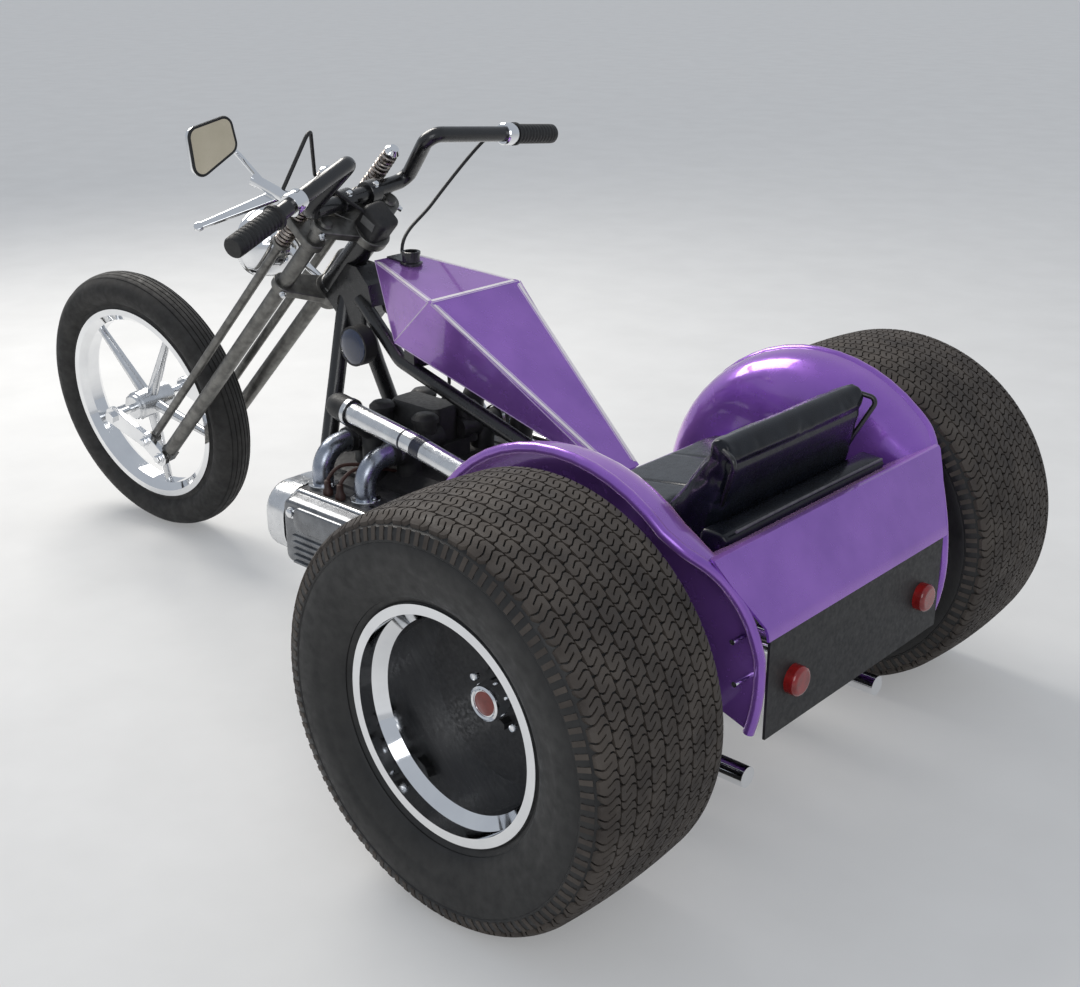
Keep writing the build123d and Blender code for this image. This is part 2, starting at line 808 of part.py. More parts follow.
with BuildPart() as runners:
    for direction in (1, -1):
        for x in runner_xs:
            tube(
                [
                    at(x, direction * runner_y, head_top),
                    at(x, direction * runner_y, runner_top),
                    at(x, direction * boot_y, runner_top + 10),
                ],
                48,
                runner_diameter,
            )
save(runners.part, "intake_runners")

with BuildPart() as carbs:
    block((680, 880), (-60, 60), (455, 565), 12)
    for direction in (1, -1):
        for x in runner_xs:
            with BuildSketch(side(direction * carb_y)):
                with Locations((x, runner_top + 12)):
                    Circle(29)
            extrude(amount=direction * (carb_y - 50))
            with BuildSketch(level(470)):
                with Locations((x, direction * 88)):
                    Circle(24)
            extrude(amount=50)
save(carbs.part, "carburettors")

# Coolant: a polished pipe down each side, rubber elbows at both ends
pipe_y = 252.0
pipe_front = (752.0, 620.0)
pipe_rear = (300.0, 568.0)
pipe_diameter = 40.0

with BuildPart() as pipes:
    for direction in (1, -1):
        rod(
            at(pipe_front[0], direction * pipe_y, pipe_front[1]),
            at(pipe_rear[0], direction * pipe_y, pipe_rear[1]),
            pipe_diameter,
        )
save(pipes.part, "coolant_pipes")

with BuildPart() as hoses:
    for direction in (1, -1):
        for x in runner_xs:
            rod(
                at(x, direction * boot_y, runner_top + 10),
                at(x, direction * carb_y, runner_top + 13),
                runner_diameter + 6,
            )
        tube(
            [
                at(pipe_front[0] - 25, direction * pipe_y, pipe_front[1] - 3),
                at(786, direction * pipe_y, 624),
                at(780, direction * 150, 540),
                at(780, direction * 150, 430),
            ],
            24,
            46,
        )
    add(crankcase.part, mode=Mode.SUBTRACT)
    add(carbs.part, mode=Mode.SUBTRACT)
    add(runners.part, mode=Mode.SUBTRACT)
    add(pipes.part, mode=Mode.SUBTRACT)
save(hoses.part, "rubber_hoses")

# Exhaust: short headers under the heads into a silencer along each side
silencer_z = 150.0
silencer_y = 222.0
head_bottom = engine_axis_z - head_height / 2

with BuildPart() as exhaust:
    for direction in (1, -1):
        tube(
            [
                at(840, direction * silencer_y, head_bottom),
                at(840, direction * silencer_y, silencer_z),
                at(540, direction * silencer_y, silencer_z),
            ],
            45,
            38,
        )
        rod(at(690, direction * silencer_y, head_bottom), at(690, direction * silencer_y, silencer_z), 36)
        rod(at(541, direction * silencer_y, silencer_z), at(-150, direction * silencer_y, silencer_z), 84)
        rod(at(-149, direction * silencer_y, silencer_z), at(-260, direction * silencer_y, silencer_z), 40)
save(exhaust.part, "exhaust")

# Fuel tank: flat facets that meet on straight edges
tank_corners = {
    "nose": (864, 54, 879),
    "shoulder": (615, 131, 843),
    "tail": (202, 36, 552),
    "chin": (782, 80, 717),
    "heel": (217, 33, 537),
}


def tank_point(corner, direction):
    """A corner of the tank on its left (1) or right (-1)."""
    x, y, z = tank_corners[corner]
    return at(x, direction * y, z)


def facet(*corners):
    """A flat face through tank corners."""
    return Face(Wire.make_polygon(corners, close=True))


tank_faces = []
for ring in (("nose", "shoulder"), ("shoulder", "tail"), ("tail", "heel"), ("heel", "chin"), ("chin", "nose")):
    tank_faces.append(facet(
        tank_point(ring[0], 1), tank_point(ring[1], 1), tank_point(ring[1], -1), tank_point(ring[0], -1)
    ))
for ring in (("nose", "shoulder", "chin"), ("shoulder", "heel", "chin"), ("shoulder", "tail", "heel")):
    for direction in (1, -1):
        tank_faces.append(facet(*[tank_point(corner, direction) for corner in ring]))
tank_solid = Solid(Shell(tank_faces))

filler_x = 806.0
filler_radius = 19.0
filler_wall = 5.0
filler_height = 28.0
filler_sunk = 10.0
filler_z = 879 - (864 - filler_x) * (879 - 843) / (864 - 615)

with BuildPart() as tank:
    add(tank_solid)
    with BuildSketch(level(filler_z - filler_sunk)):
        with Locations((filler_x, 0)):
            Circle(filler_radius)
    extrude(amount=60, mode=Mode.SUBTRACT)
save(tank.part, "fuel_tank")

with BuildPart() as filler:
    with BuildSketch(level(filler_z - filler_sunk)):
        with Locations((filler_x, 0)):
            Circle(filler_radius)
            Circle(filler_radius - filler_wall, mode=Mode.SUBTRACT)
    extrude(amount=filler_height + filler_sunk)
save(filler.part, "filler_neck")

with BuildPart() as tank_stays:
    block((740, 770), (-rail_y - 8, rail_y + 8), (664, 716))
    block((270, 300), (-rail_y - 8, rail_y + 8), (530, 566))
    add(top_rails.part, mode=Mode.SUBTRACT)
    add(tank_solid, mode=Mode.SUBTRACT)
save(tank_stays.part, "tank_stays")

with BuildPart() as horn:
    with BuildSketch(side(96)):
        with Locations((900, 690)):
            Circle(44)
    extrude(amount=34)
    rod(at(900, 64, 690), at(935, 28, 740), 12)
    add(neck.part, mode=Mode.SUBTRACT)
    add(top_rails.part, mode=Mode.SUBTRACT)
save(horn.part, "horn")

# Body: centre moulding with the rear panel, a fender each side with a rolled lip
wall_y = 300.0
lip_y = 405.0
arch_x = 25.0
arch_z = 403.0
arch_radius = 336.0
skin = 5.0
floor_z = 527.0
lip_radius = 10.0
arch_start = 40.0
arch_turn = 131.0
arch_end = 166.0

with BuildPart() as body:
    with BuildSketch(side(wall_y)):
        with BuildLine():
            Polyline(
                (230, floor_z), (230, floor_z + skin), (-190, floor_z + skin), (-200, 576), (-262, 617),
                (-333, 492), (-333, 470), (-328, 470), (-328, 490), (-262, 606), (-204, 570),
                (-195, floor_z), close=True,
            )
        make_face()
    extrude(amount=2 * wall_y)
    add(top_rails.part, mode=Mode.SUBTRACT)
save(body.part, "rear_body")

arch = at(arch_x, 0, arch_z)
arch_axis = Axis(arch, (0, 1, 0))


def arch_point(angle, y):
    """A point on the fender's outer circle, the angle measured up from straight ahead."""
    return arch + Vector(arch_radius * cos(radians(angle)), y, arch_radius * sin(radians(angle)))


def arch_section(angle):
    """A plane through the arch's axis: x outward at the angle, y to the left."""
    outward = Vector(cos(radians(angle)), 0, sin(radians(angle)))
    return Plane(origin=arch, x_dir=outward, z_dir=outward.cross(Vector(0, 1, 0)))


lip_end_z = 470.0
lip_foot_z = 300.0
turn_point = arch_point(arch_turn, lip_y)
end_point = at(-324, wall_y + 6, lip_end_z)
cut_out = arch_section((arch_turn + arch_end) / 2).x_dir
cut_normal = (end_point - turn_point).cross(cut_out).normalized()

with BuildPart() as fender_left:
    with BuildSketch(arch_section(arch_turn)):
        with BuildLine():
            Polyline(
                (200, wall_y), (arch_radius + skin, wall_y), (arch_radius + skin, lip_y + 5),
                (arch_radius, lip_y + 5), (arch_radius, wall_y + skin), (200, wall_y + skin), close=True,
            )
        make_face()
    revolve(axis=arch_axis, revolution_arc=-(arch_end + 30 - arch_turn))
    with BuildSketch(Plane(origin=turn_point, x_dir=cut_out, z_dir=cut_normal)):
        Rectangle(400, 900)
    extrude(amount=200, mode=Mode.SUBTRACT)
    with BuildSketch(arch_section(arch_end - 6)):
        with Locations((270, wall_y + skin / 2)):
            Rectangle(140, skin)
    revolve(axis=arch_axis, revolution_arc=-36)
    with BuildSketch(arch_section(arch_start)):
        with BuildLine():
            Polyline((arch_radius + skin, lip_y), (arch_radius + skin - 2, 372))
            ThreePointArc((arch_radius + skin - 2, 372), (314, 322), (262, wall_y))
            Polyline(
                (262, wall_y), (200, wall_y), (200, wall_y + skin), (262, wall_y + skin),
            )
            ThreePointArc((262, wall_y + skin), (310, 326), (arch_radius - 2, 374))
            Polyline((arch_radius - 2, 374), (arch_radius, lip_y), (arch_radius + skin, lip_y))
        make_face()
    revolve(axis=arch_axis, revolution_arc=-(arch_turn - arch_start))
save(fender_left.part, "fender_left")

with BuildPart() as lip_left:
    with BuildLine() as edge:
        top = ThreePointArc(
            arch_point(arch_start, lip_y),
            arch_point((arch_start + arch_turn) / 2, lip_y),
            arch_point(arch_turn, lip_y),
        )
        bend = TangentArc(top @ 1, at(-264, (lip_y + wall_y) / 2 + 8, 594), tangent=top % 1)
        rear = TangentArc(bend @ 1, end_point, tangent=bend % 1)
        TangentArc(rear @ 1, at(-320, wall_y + 12, lip_foot_z), tangent=rear % 1)
    with BuildSketch(Plane(origin=top @ 0, z_dir=top % 0)):
        Circle(lip_radius)
    sweep(path=edge.wire())
    add(fender_left.part, mode=Mode.SUBTRACT)
    add(body.part, mode=Mode.SUBTRACT)
save(lip_left.part, "fender_lip_left")

with BuildPart() as fender_right:
    add(mirror(fender_left.part, about=Plane.XZ, mode=Mode.PRIVATE))
save(fender_right.part, "fender_right")

with BuildPart() as lip_right:
    add(mirror(lip_left.part, about=Plane.XZ, mode=Mode.PRIVATE))
save(lip_right.part, "fender_lip_right")

# Seat: a wide base wedge, a tall leaning back pad, a roll behind it
seat_half = 262.0
pad_gap = 0.3

with BuildPart() as seat_base:
    with BuildSketch(side(seat_half)) as outline:
        with BuildLine():
            Polyline(
                (196, floor_z + skin + pad_gap), (196, 552), (184, 562), (-58, 602), (-58, floor_z + skin + pad_gap),
                close=True,
            )
        make_face()
    extrude(amount=2 * seat_half)
    edges = seat_base.edges().filter_by(Axis.Y, reverse=True).filter_by(
        lambda e: e.center().Z > floor_z + 20)
    fillet(edges, 12)
save(seat_base.part, "seat_base")

back_low_half = 222.0
back_top_half = 190.0

with BuildPart() as backrest:
    with BuildSketch(side(back_low_half)):
        with BuildLine():
            Polyline(
                (-60, floor_z + skin + pad_gap), (-60, 604), (-136, 744), (-148, 756), (-180, 758), (-188, 750),
                (-153, 600), (-150, floor_z + skin + pad_gap), close=True,
            )
        make_face()
    extrude(amount=2 * back_low_half)
    with BuildSketch(across(-300)):
        for direction in (1, -1):
            with BuildLine():
                Polyline(
                    (direction * back_low_half, 600), (direction * back_top_half, 762),
                    (direction * 300, 762), (direction * 300, 600), close=True,
                )
            make_face()
    extrude(amount=300, mode=Mode.SUBTRACT)
save(backrest.part, "backrest")

with BuildPart() as seat_roll:
    with BuildSketch(side(seat_half)):
        with Locations((-170, 566)):
            RectangleRounded(34, 66, 15)
    extrude(amount=2 * seat_half)
save(seat_roll.part, "seat_roll")

# Rear valance with round lamps, bolt studs through the fender walls
valance_x = -328.0
lamp_z = 372.0
lamp_y = 216.0
tail_radius = 27.0

with BuildPart() as valance:
    block((valance_x - 5, valance_x), (-290, 290), (285, 470))
save(valance.part, "rear_valance")

with BuildPart() as tail_lamps:
    for direction in (1, -1):
        with BuildSketch(across(valance_x - 5)):
            with Locations((direction * lamp_y, lamp_z)):
                Circle(tail_radius)
        extrude(amount=-22)
    fillet(tail_lamps.faces().filter_by(Axis.X).group_by(Axis.X)[0].edges(), 8)
save(tail_lamps.part, "tail_lamps")

with BuildPart() as studs:
    for direction in (1, -1):
        for x, z in ((-298, 478), (-306, 404)):
            with BuildSketch(side(direction * (wall_y + skin))):
                with Locations((x, z)):
                    Circle(5)
            extrude(amount=-direction * 44)
    add(fender_left.part, mode=Mode.SUBTRACT)
    add(fender_right.part, mode=Mode.SUBTRACT)
save(studs.part, "fender_studs")

# Foot pegs on the cradle rails
peg_x = 470.0
with BuildPart() as pegs:
    for direction in (1, -1):
        rod(at(peg_x, direction * cradle_y, cradle_z + 50), at(peg_x, direction * 340, cradle_z + 50), 30)
        rod(at(peg_x, direction * (cradle_y + 15), cradle_z + 50), at(peg_x, direction * cradle_y, cradle_z), 22)
    add(cradle.part, mode=Mode.SUBTRACT)
    add(gearbox.part, mode=Mode.SUBTRACT)
save(pegs.part, "foot_pegs")
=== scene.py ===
import json
from math import acos, atan2, ceil, cos, degrees, pi, radians, sin, sqrt, tan

import bmesh
import bpy
import numpy as np
from mathutils import Matrix, Vector


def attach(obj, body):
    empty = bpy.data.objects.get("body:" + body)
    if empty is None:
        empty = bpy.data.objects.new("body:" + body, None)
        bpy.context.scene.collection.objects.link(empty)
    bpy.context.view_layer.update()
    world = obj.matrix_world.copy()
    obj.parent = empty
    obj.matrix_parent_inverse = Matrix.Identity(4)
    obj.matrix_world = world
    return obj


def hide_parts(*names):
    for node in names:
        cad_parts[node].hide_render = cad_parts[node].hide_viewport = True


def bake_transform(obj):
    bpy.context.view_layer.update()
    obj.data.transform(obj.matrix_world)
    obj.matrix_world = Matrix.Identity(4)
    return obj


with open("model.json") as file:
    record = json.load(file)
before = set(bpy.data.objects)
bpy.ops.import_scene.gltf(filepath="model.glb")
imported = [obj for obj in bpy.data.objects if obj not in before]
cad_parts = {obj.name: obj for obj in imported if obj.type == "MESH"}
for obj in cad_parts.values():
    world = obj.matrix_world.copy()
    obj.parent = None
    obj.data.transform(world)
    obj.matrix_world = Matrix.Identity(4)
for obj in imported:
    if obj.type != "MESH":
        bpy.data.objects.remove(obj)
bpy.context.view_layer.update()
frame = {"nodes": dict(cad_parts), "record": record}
nodes = frame["nodes"]

# The row frame's directions, and the rear axle's place along it in metres
AHEAD, LEFT, UP = Vector((1, 0, 0)), Vector((0, 1, 0)), Vector((0, 0, 1))
REAR_X = -0.905952


def at(x, y, z):
    """A point in metres, from millimetres ahead of the rear axle, to the left and up."""
    return Vector((REAR_X + x / 1000, y / 1000, z / 1000))


# Materials: each is mottled between two colours as its noise goes through this range
NOISE_RANGE = (0.3, 0.7)
NOISE_ROUGHNESS = 0.55
GLOSS_FINENESS = 3.3
COAT_ROUGHNESS = 0.05


def new_material(name):
    """A node material with its tree, its shader and an object-space position."""
    material = bpy.data.materials.new(name)
    material.use_nodes = True
    tree = material.node_tree
    shader = tree.nodes["Principled BSDF"]
    place = tree.nodes.new("ShaderNodeTexCoord")
    return material, tree, shader, place


def add_node(tree, kind, sources, values=()):
    """A node whose inputs are linked to sources, or set to values, by name or by number."""
    node = tree.nodes.new("ShaderNode" + kind)
    for name, source in sources:
        tree.links.new(source, node.inputs[name])
    for name, value in values:
        node.inputs[name].default_value = value
    return node


def noise(tree, place, scale, detail=3.0):
    """Noise over the object's own space, at a scale in cells per metre."""
    values = (("Scale", scale), ("Detail", detail), ("Roughness", NOISE_ROUGHNESS))
    return add_node(tree, "TexNoise", [("Vector", place.outputs["Object"])], values).outputs["Fac"]


def ramp(tree, factor, low, high):
    """A colour between two, by a factor."""
    node = add_node(tree, "ValToRGB", [("Fac", factor)])
    for element, position, colour in zip(node.color_ramp.elements, NOISE_RANGE, (low, high)):
        element.position = position
        element.color = (*colour, 1)
    return node.outputs["Color"]


def level(tree, factor, low, high):
    """A value between two, by a factor."""
    values = zip(("From Min", "From Max", "To Min", "To Max"), (*NOISE_RANGE, low, high))
    return add_node(tree, "MapRange", [("Value", factor)], values).outputs["Result"]


slot_of_material = {}


def surface(name, slot, low, high, rough, metallic, scale, grain=None, coat=0.0, spec=0.5):
    """A painted, cast or moulded surface of a slot: mottled colour, uneven gloss, fine grain."""
    material, tree, shader, place = new_material(name)
    slot_of_material[material.name] = slot
    tree.links.new(ramp(tree, noise(tree, place, scale), low, high), shader.inputs["Base Color"])
    tree.links.new(level(tree, noise(tree, place, scale * GLOSS_FINENESS), *rough), shader.inputs["Roughness"])
    for value, socket in (
        (metallic, "Metallic"), (coat, "Coat Weight"), (COAT_ROUGHNESS, "Coat Roughness"),
        (spec, "Specular IOR Level"),
    ):
        shader.inputs[socket].default_value = value
    if grain:
        fineness, strength, distance = grain
        height = noise(tree, place, fineness, 2.0)
        relief = add_node(tree, "Bump", [("Height", height)], [("Strength", strength), ("Distance", distance)])
        tree.links.new(relief.outputs["Normal"], shader.inputs["Normal"])
    return material


PURPLE = surface(
    "purple_paint", "purple_body", (0.24, 0.09, 0.50), (0.33, 0.135, 0.62),
    (0.20, 0.30), 0.5, 9, (900, 0.08, 0.0003), 1.0,
)
for socket, value in (
    ("Specular Tint", (1.0, 0.62, 0.95, 1.0)), ("Sheen Weight", 0.25), ("Sheen Tint", (1.0, 0.55, 0.95, 1.0)),
):
    PURPLE.node_tree.nodes["Principled BSDF"].inputs[socket].default_value = value
BLACK = surface(
    "black_paint", "black_frame", (0.006, 0.006, 0.007), (0.012, 0.012, 0.013),
    (0.22, 0.4), 0.0, 22, (500, 0.1, 0.0003), 0.4,
)
BLACK_SATIN = surface(
    "black_satin", "black_frame", (0.010, 0.010, 0.011), (0.022, 0.021, 0.021),
    (0.45, 0.65), 0.0, 40, (400, 0.2, 0.0004),
)
ALLOY = surface(
    "cast_alloy", "alloy", (0.40, 0.40, 0.41), (0.55, 0.56, 0.58),
    (0.28, 0.5), 0.9, 40, (700, 0.3, 0.0004),
)
ENGINE_CAST = surface(
    "dark_casting", "alloy", (0.05, 0.05, 0.052), (0.12, 0.12, 0.125),
    (0.4, 0.6), 0.7, 40, (700, 0.35, 0.0005),
)
COVER_ALLOY = surface(
    "oiled_cover", "alloy", (0.12, 0.125, 0.135), (0.22, 0.23, 0.245),
    (0.22, 0.36), 0.85, 30, (500, 0.08, 0.0002), 0.5,
)
RUNNER_STEEL = surface(
    "blued_steel", "alloy", (0.26, 0.29, 0.36), (0.46, 0.49, 0.54),
    (0.22, 0.34), 0.95, 26, (400, 0.05, 0.0002),
)
POLISHED = surface(
    "polished_alloy", "alloy", (0.62, 0.63, 0.65), (0.78, 0.79, 0.80),
    (0.14, 0.3), 1.0, 26, (300, 0.08, 0.0003),
)
CHROME = surface(
    "chrome_plate", "chrome", (0.78, 0.79, 0.81), (0.86, 0.87, 0.88),
    (0.03, 0.09), 1.0, 14, (60, 0.03, 0.0004),
)
GREY = surface(
    "grey_fork_metal", "grey_fork", (0.12, 0.117, 0.11), (0.24, 0.235, 0.22),
    (0.32, 0.5), 0.8, 45, (300, 0.2, 0.0003),
)
RUBBER = surface(
    "tyre_rubber", "tyre_rubber", (0.016, 0.0155, 0.015), (0.033, 0.031, 0.029),
    (0.6, 0.85), 0.0, 18, (600, 0.3, 0.0005),
)
SOFT = surface(
    "soft_rubber", "soft_rubber", (0.008, 0.008, 0.008), (0.02, 0.02, 0.02),
    (0.45, 0.6), 0.0, 60, (600, 0.3, 0.0004),
)
VINYL = surface(
    "black_vinyl", "vinyl", (0.004, 0.0045, 0.007), (0.008, 0.010, 0.015),
    (0.20, 0.32), 0.0, 20, (420, 0.12, 0.0003), 0.12, spec=0.28,
)
RED = surface(
    "red_lens", "red_lens", (0.20, 0.006, 0.006), (0.34, 0.01, 0.01),
    (0.08, 0.2), 0.0, 60, (300, 0.15, 0.0005), 0.6,
)
CLEAR = surface(
    "clear_lens", "clear_lens", (0.55, 0.58, 0.6), (0.72, 0.74, 0.76),
    (0.04, 0.12), 0.0, 60, (150, 0.3, 0.0008), 0.8,
)
# The mirror face is dimmed and tinted: painted reflection of the ground it shows.
MIRROR = surface(
    "mirror_face", "mirror_face", (0.60, 0.54, 0.41), (0.71, 0.64, 0.50),
    (0.10, 0.18), 0.9, 12,
)

# Rear tyre walls are darker than the front tyre's rubber: their own black, plus painted shade. The rear tread is
# lighter and brownish: dust and wear, plus painted light.
WALL = surface(
    "tyre_sidewall", "tyre_rubber", (0.007, 0.007, 0.007), (0.017, 0.0165, 0.016),
    (0.42, 0.62), 0.0, 16, (500, 0.2, 0.0005),
)
TREAD = surface(
    "tread_wear_and_painted_light", "tyre_rubber", (0.040, 0.032, 0.027), (0.085, 0.070, 0.058),
    (0.62, 0.88), 0.0, 14, (420, 0.45, 0.0008),
)
SPRING_WIRE = surface(
    "spring_wire", "chrome", (0.22, 0.19, 0.17), (0.42, 0.38, 0.35),
    (0.2, 0.36), 1.0, 60, (300, 0.1, 0.0003),
)
CAP_RED = surface(
    "cap_red", "red_lens", (0.16, 0.022, 0.016), (0.24, 0.035, 0.025),
    (0.3, 0.45), 0.0, 60, (400, 0.2, 0.0003), 0.3,
)
BAND = surface(
    "blue_black_band", "soft_rubber", (0.004, 0.006, 0.02), (0.008, 0.012, 0.035),
    (0.2, 0.35), 0.0, 60, (400, 0.2, 0.0003), 0.4,
)
LEAD = surface(
    "rust_brown_lead", "soft_rubber", (0.030, 0.012, 0.008), (0.065, 0.028, 0.020),
    (0.4, 0.6), 0.0, 60, (600, 0.2, 0.0003),
)
BLUE_GLOSS = surface(
    "blue_black_gloss", "black_frame", (0.006, 0.014, 0.045), (0.010, 0.024, 0.075),
    (0.10, 0.2), 0.0, 20, (200, 0.05, 0.0003), 0.9,
)
TAG = surface(
    "bare_tag", "grey_fork", (0.12, 0.12, 0.12), (0.18, 0.18, 0.175),
    (0.45, 0.6), 0.2, 60, (400, 0.2, 0.0003),
)
PIPING = surface(
    "grey_piping", "vinyl", (0.09, 0.085, 0.09), (0.15, 0.145, 0.15),
    (0.35, 0.5), 0.0, 60, (600, 0.2, 0.0003),
)
STRIPE_PALE = surface(
    "stripe_pale", None, (0.86, 0.79, 0.82), (0.93, 0.87, 0.89),
    (0.25, 0.35), 0.0, 30, None, 0.8,
)
STRIPE_LILAC = surface(
    "stripe_lilac", None, (0.60, 0.45, 0.72), (0.70, 0.55, 0.80),
    (0.25, 0.35), 0.0, 30, None, 0.8,
)

SLOTS = {
    "black_frame": BLACK, "purple_body": PURPLE, "alloy": ALLOY, "chrome": CHROME, "grey_fork": GREY,
    "black_centre": BLACK_SATIN, "tyre_rubber": RUBBER, "soft_rubber": SOFT, "vinyl": VINYL,
    "red_lens": RED, "clear_lens": CLEAR, "mirror_face": MIRROR,
}


def paint(piece, material):
    """Give a piece one material."""
    piece.data.materials.clear()
    piece.data.materials.append(material)


slot_of = {row["node"]: row["material_slot"] for row in frame["record"]["subparts"]}
for name, node in nodes.items():
    paint(node, SLOTS[slot_of[name]])

# These parts get satin black. On the rear valance, the deep black also stands in for the shade under the body, as
# painted shade.
for name in ("rear_valance", "horn", "axle_housing", "drive_shaft", "crankcase", "gearbox"):
    paint(nodes[name], BLACK_SATIN)

# Frames of reference that repeat the driving dimensions of the part's source, in millimetres
RAKE = radians(45.0)
REST_STEER = radians(8.0)
STEER_FOOT_X = 1852.0
STEER_AXIS = Vector((-sin(RAKE), 0, cos(RAKE)))
STEER_AHEAD = Vector((cos(RAKE) * cos(REST_STEER), sin(REST_STEER), sin(RAKE) * cos(REST_STEER)))
STEER_LEFT = STEER_AXIS.cross(STEER_AHEAD)
FORK_FOOT = at(STEER_FOOT_X, 0, 0)


def on_fork(ahead, left, up):
    """A point in metres, from millimetres ahead of the steering axis, to its left and up along it."""
    return FORK_FOOT + (STEER_AHEAD * ahead + STEER_LEFT * left + STEER_AXIS * up) / 1000


# Mesh building: points are in metres, as at() and on_fork() give them, and sizes are in millimetres
SHARP_ANGLE = radians(38)


def piece(name, mesh, material, body, *stands_for, slot=None, smooth=True):
    """A piece from a bmesh or a mesh: it rides on a body, if one is named, in place of the nodes it stands for."""
    if isinstance(mesh, bmesh.types.BMesh):
        bm, mesh = mesh, bpy.data.meshes.new(name)
        bmesh.ops.recalc_face_normals(bm, faces=bm.faces)
        bm.to_mesh(mesh)
        bm.free()
    item = bpy.data.objects.new(name, mesh)
    bpy.context.scene.collection.objects.link(item)
    if smooth:
        for face in mesh.polygons:
            face.use_smooth = True
        mesh.set_sharp_from_angle(angle=SHARP_ANGLE)
    paint(item, material)
    if body:
        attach(item, body)
    if stands_for:
        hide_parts(*stands_for)
    slot = slot or slot_of_material[material.name]
    return item


def ring_of(bm, centre, x_dir, y_dir, radius, count):
    """A ring of vertices."""
    radius = radius / 1000
    return [
        bm.verts.new(centre + x_dir * radius * cos(2 * pi * k / count) + y_dir * radius * sin(2 * pi * k / count))
        for k in range(count)
    ]


def join_rings(bm, first, second):
    """Quads between two rings of the same length."""
    count = len(first)
    for k in range(count):
        bm.faces.new((first[k], first[(k + 1) % count], second[(k + 1) % count], second[k]))


def square_to(direction):
    """Two directions square to one and to each other."""
    direction = direction.normalized()
    helper = UP if abs(direction.z) < 0.9 else AHEAD
    x_dir = direction.cross(helper).normalized()
    return x_dir, direction.cross(x_dir)


def add_pipe(bm, points, radii, count=12):
    """A round tube through points, with one radius or one for each point."""
    if not isinstance(radii, (list, tuple)):
        radii = [radii] * len(points)
    rings = []
    x_dir = None
    for k, point in enumerate(points):
        before = points[max(k - 1, 0)]
        after = points[min(k + 1, len(points) - 1)]
        run = (after - before).normalized()
        if x_dir is None:
            x_dir = square_to(run)[0]
        x_dir = (x_dir - run * x_dir.dot(run)).normalized()
        rings.append(ring_of(bm, point, x_dir, run.cross(x_dir), radii[k], count))
    for first, second in zip(rings, rings[1:]):
        join_rings(bm, first, second)
    bm.faces.new(rings[0])
    bm.faces.new(rings[-1])


def add_turned(bm, centre, axis, profile, count=32):
    """A turned form: profile holds (distance along the axis, radius) pairs, a zero radius closing an end."""
    axis = axis.normalized()
    x_dir, y_dir = square_to(axis)
    rings = []
    for along, radius in profile:
        spot = centre + axis * (along / 1000)
        if radius <= 0:
            rings.append([bm.verts.new(spot)])
        else:
            rings.append(ring_of(bm, spot, x_dir, y_dir, radius, count))
    for first, second in zip(rings, rings[1:]):
        if len(first) == 1:
            for k in range(count):
                bm.faces.new((first[0], second[(k + 1) % count], second[k]))
        elif len(second) == 1:
            for k in range(count):
                bm.faces.new((first[k], first[(k + 1) % count], second[0]))
        else:
            join_rings(bm, first, second)


def sleeve(length, outer, inner=0):
    """The profile of a plain sleeve, or of a rod."""
    return [(0, inner), (0, outer), (length, outer), (length, inner)]


def add_bolt(bm, place, axis, radius, height):
    """A bolt head over a washer."""
    washer = 0.2 * height
    add_turned(bm, place, axis, [(0, 0), (0, radius * 1.35), (washer, radius * 1.3), (washer, 0)], 20)
    add_turned(
        bm, place + axis.normalized() * (washer / 1000), axis,
        [(0, 0), (0, radius), (height * 0.85, radius), (height, radius * 0.86), (height, 0)], 6,
    )


def smooth_path(points, steps=10):
    """Points along a smooth line through the given ones."""
    result = []
    for k in range(len(points) - 1):
        before = points[max(k - 1, 0)]
        start, end = points[k], points[k + 1]
        after = points[min(k + 2, len(points) - 1)]
        for j in range(steps):
            t = j / steps
            result.append(0.5 * (
                2 * start + (end - before) * t + (2 * before - 5 * start + 4 * end - after) * t ** 2
                + (3 * start - before - 3 * end + after) * t ** 3
            ))
    result.append(points[-1])
    return result


def bent(points, radius, steps=7):
    """Points along straight runs whose corners are rounded to one radius or to one each, in millimetres."""
    corners = len(points) - 2
    radii = radius if isinstance(radius, (list, tuple)) else [radius] * corners
    result = [points[0]]
    for k in range(corners):
        corner = points[k + 1]
        into = (points[k] - corner).normalized()
        out = (points[k + 2] - corner).normalized()
        half = into.angle(out) / 2
        centre = corner + (into + out).normalized() * radii[k] / 1000 / sin(half)
        start = corner + into * radii[k] / 1000 / tan(half) - centre
        end = corner + out * radii[k] / 1000 / tan(half) - centre
        reach = start.length
        start.normalize()
        end.normalize()
        result += [centre + start.slerp(end, j / steps) * reach for j in range(steps + 1)]
    result.append(points[-1])
    return result


def rounded(corners, radius, steps=8):
    """Points round a flat polygon with its corners rounded."""
    result = []
    count = len(corners)
    for k in range(count):
        corner = Vector(corners[k])
        into = (Vector(corners[k - 1]) - corner).normalized()
        out = (Vector(corners[(k + 1) % count]) - corner).normalized()
        half = into.angle(out) / 2
        centre = corner + (into + out).normalized() * radius / sin(half)
        start = corner + into * radius / tan(half) - centre
        sweep = (pi - 2 * half) * (1 if into.x * out.y - into.y * out.x < 0 else -1)
        for j in range(steps + 1):
            turn = sweep * j / steps
            result.append(centre + Vector((
                start.x * cos(turn) - start.y * sin(turn), start.x * sin(turn) + start.y * cos(turn),
            )))
    return result


def rounded_box(half_width, half_height, radius, steps=8):
    """Points round a rectangle with rounded corners, about its middle."""
    return rounded(
        [(half_width * x, half_height * y) for x, y in ((1, 1), (-1, 1), (-1, -1), (1, -1))], radius, steps,
    )


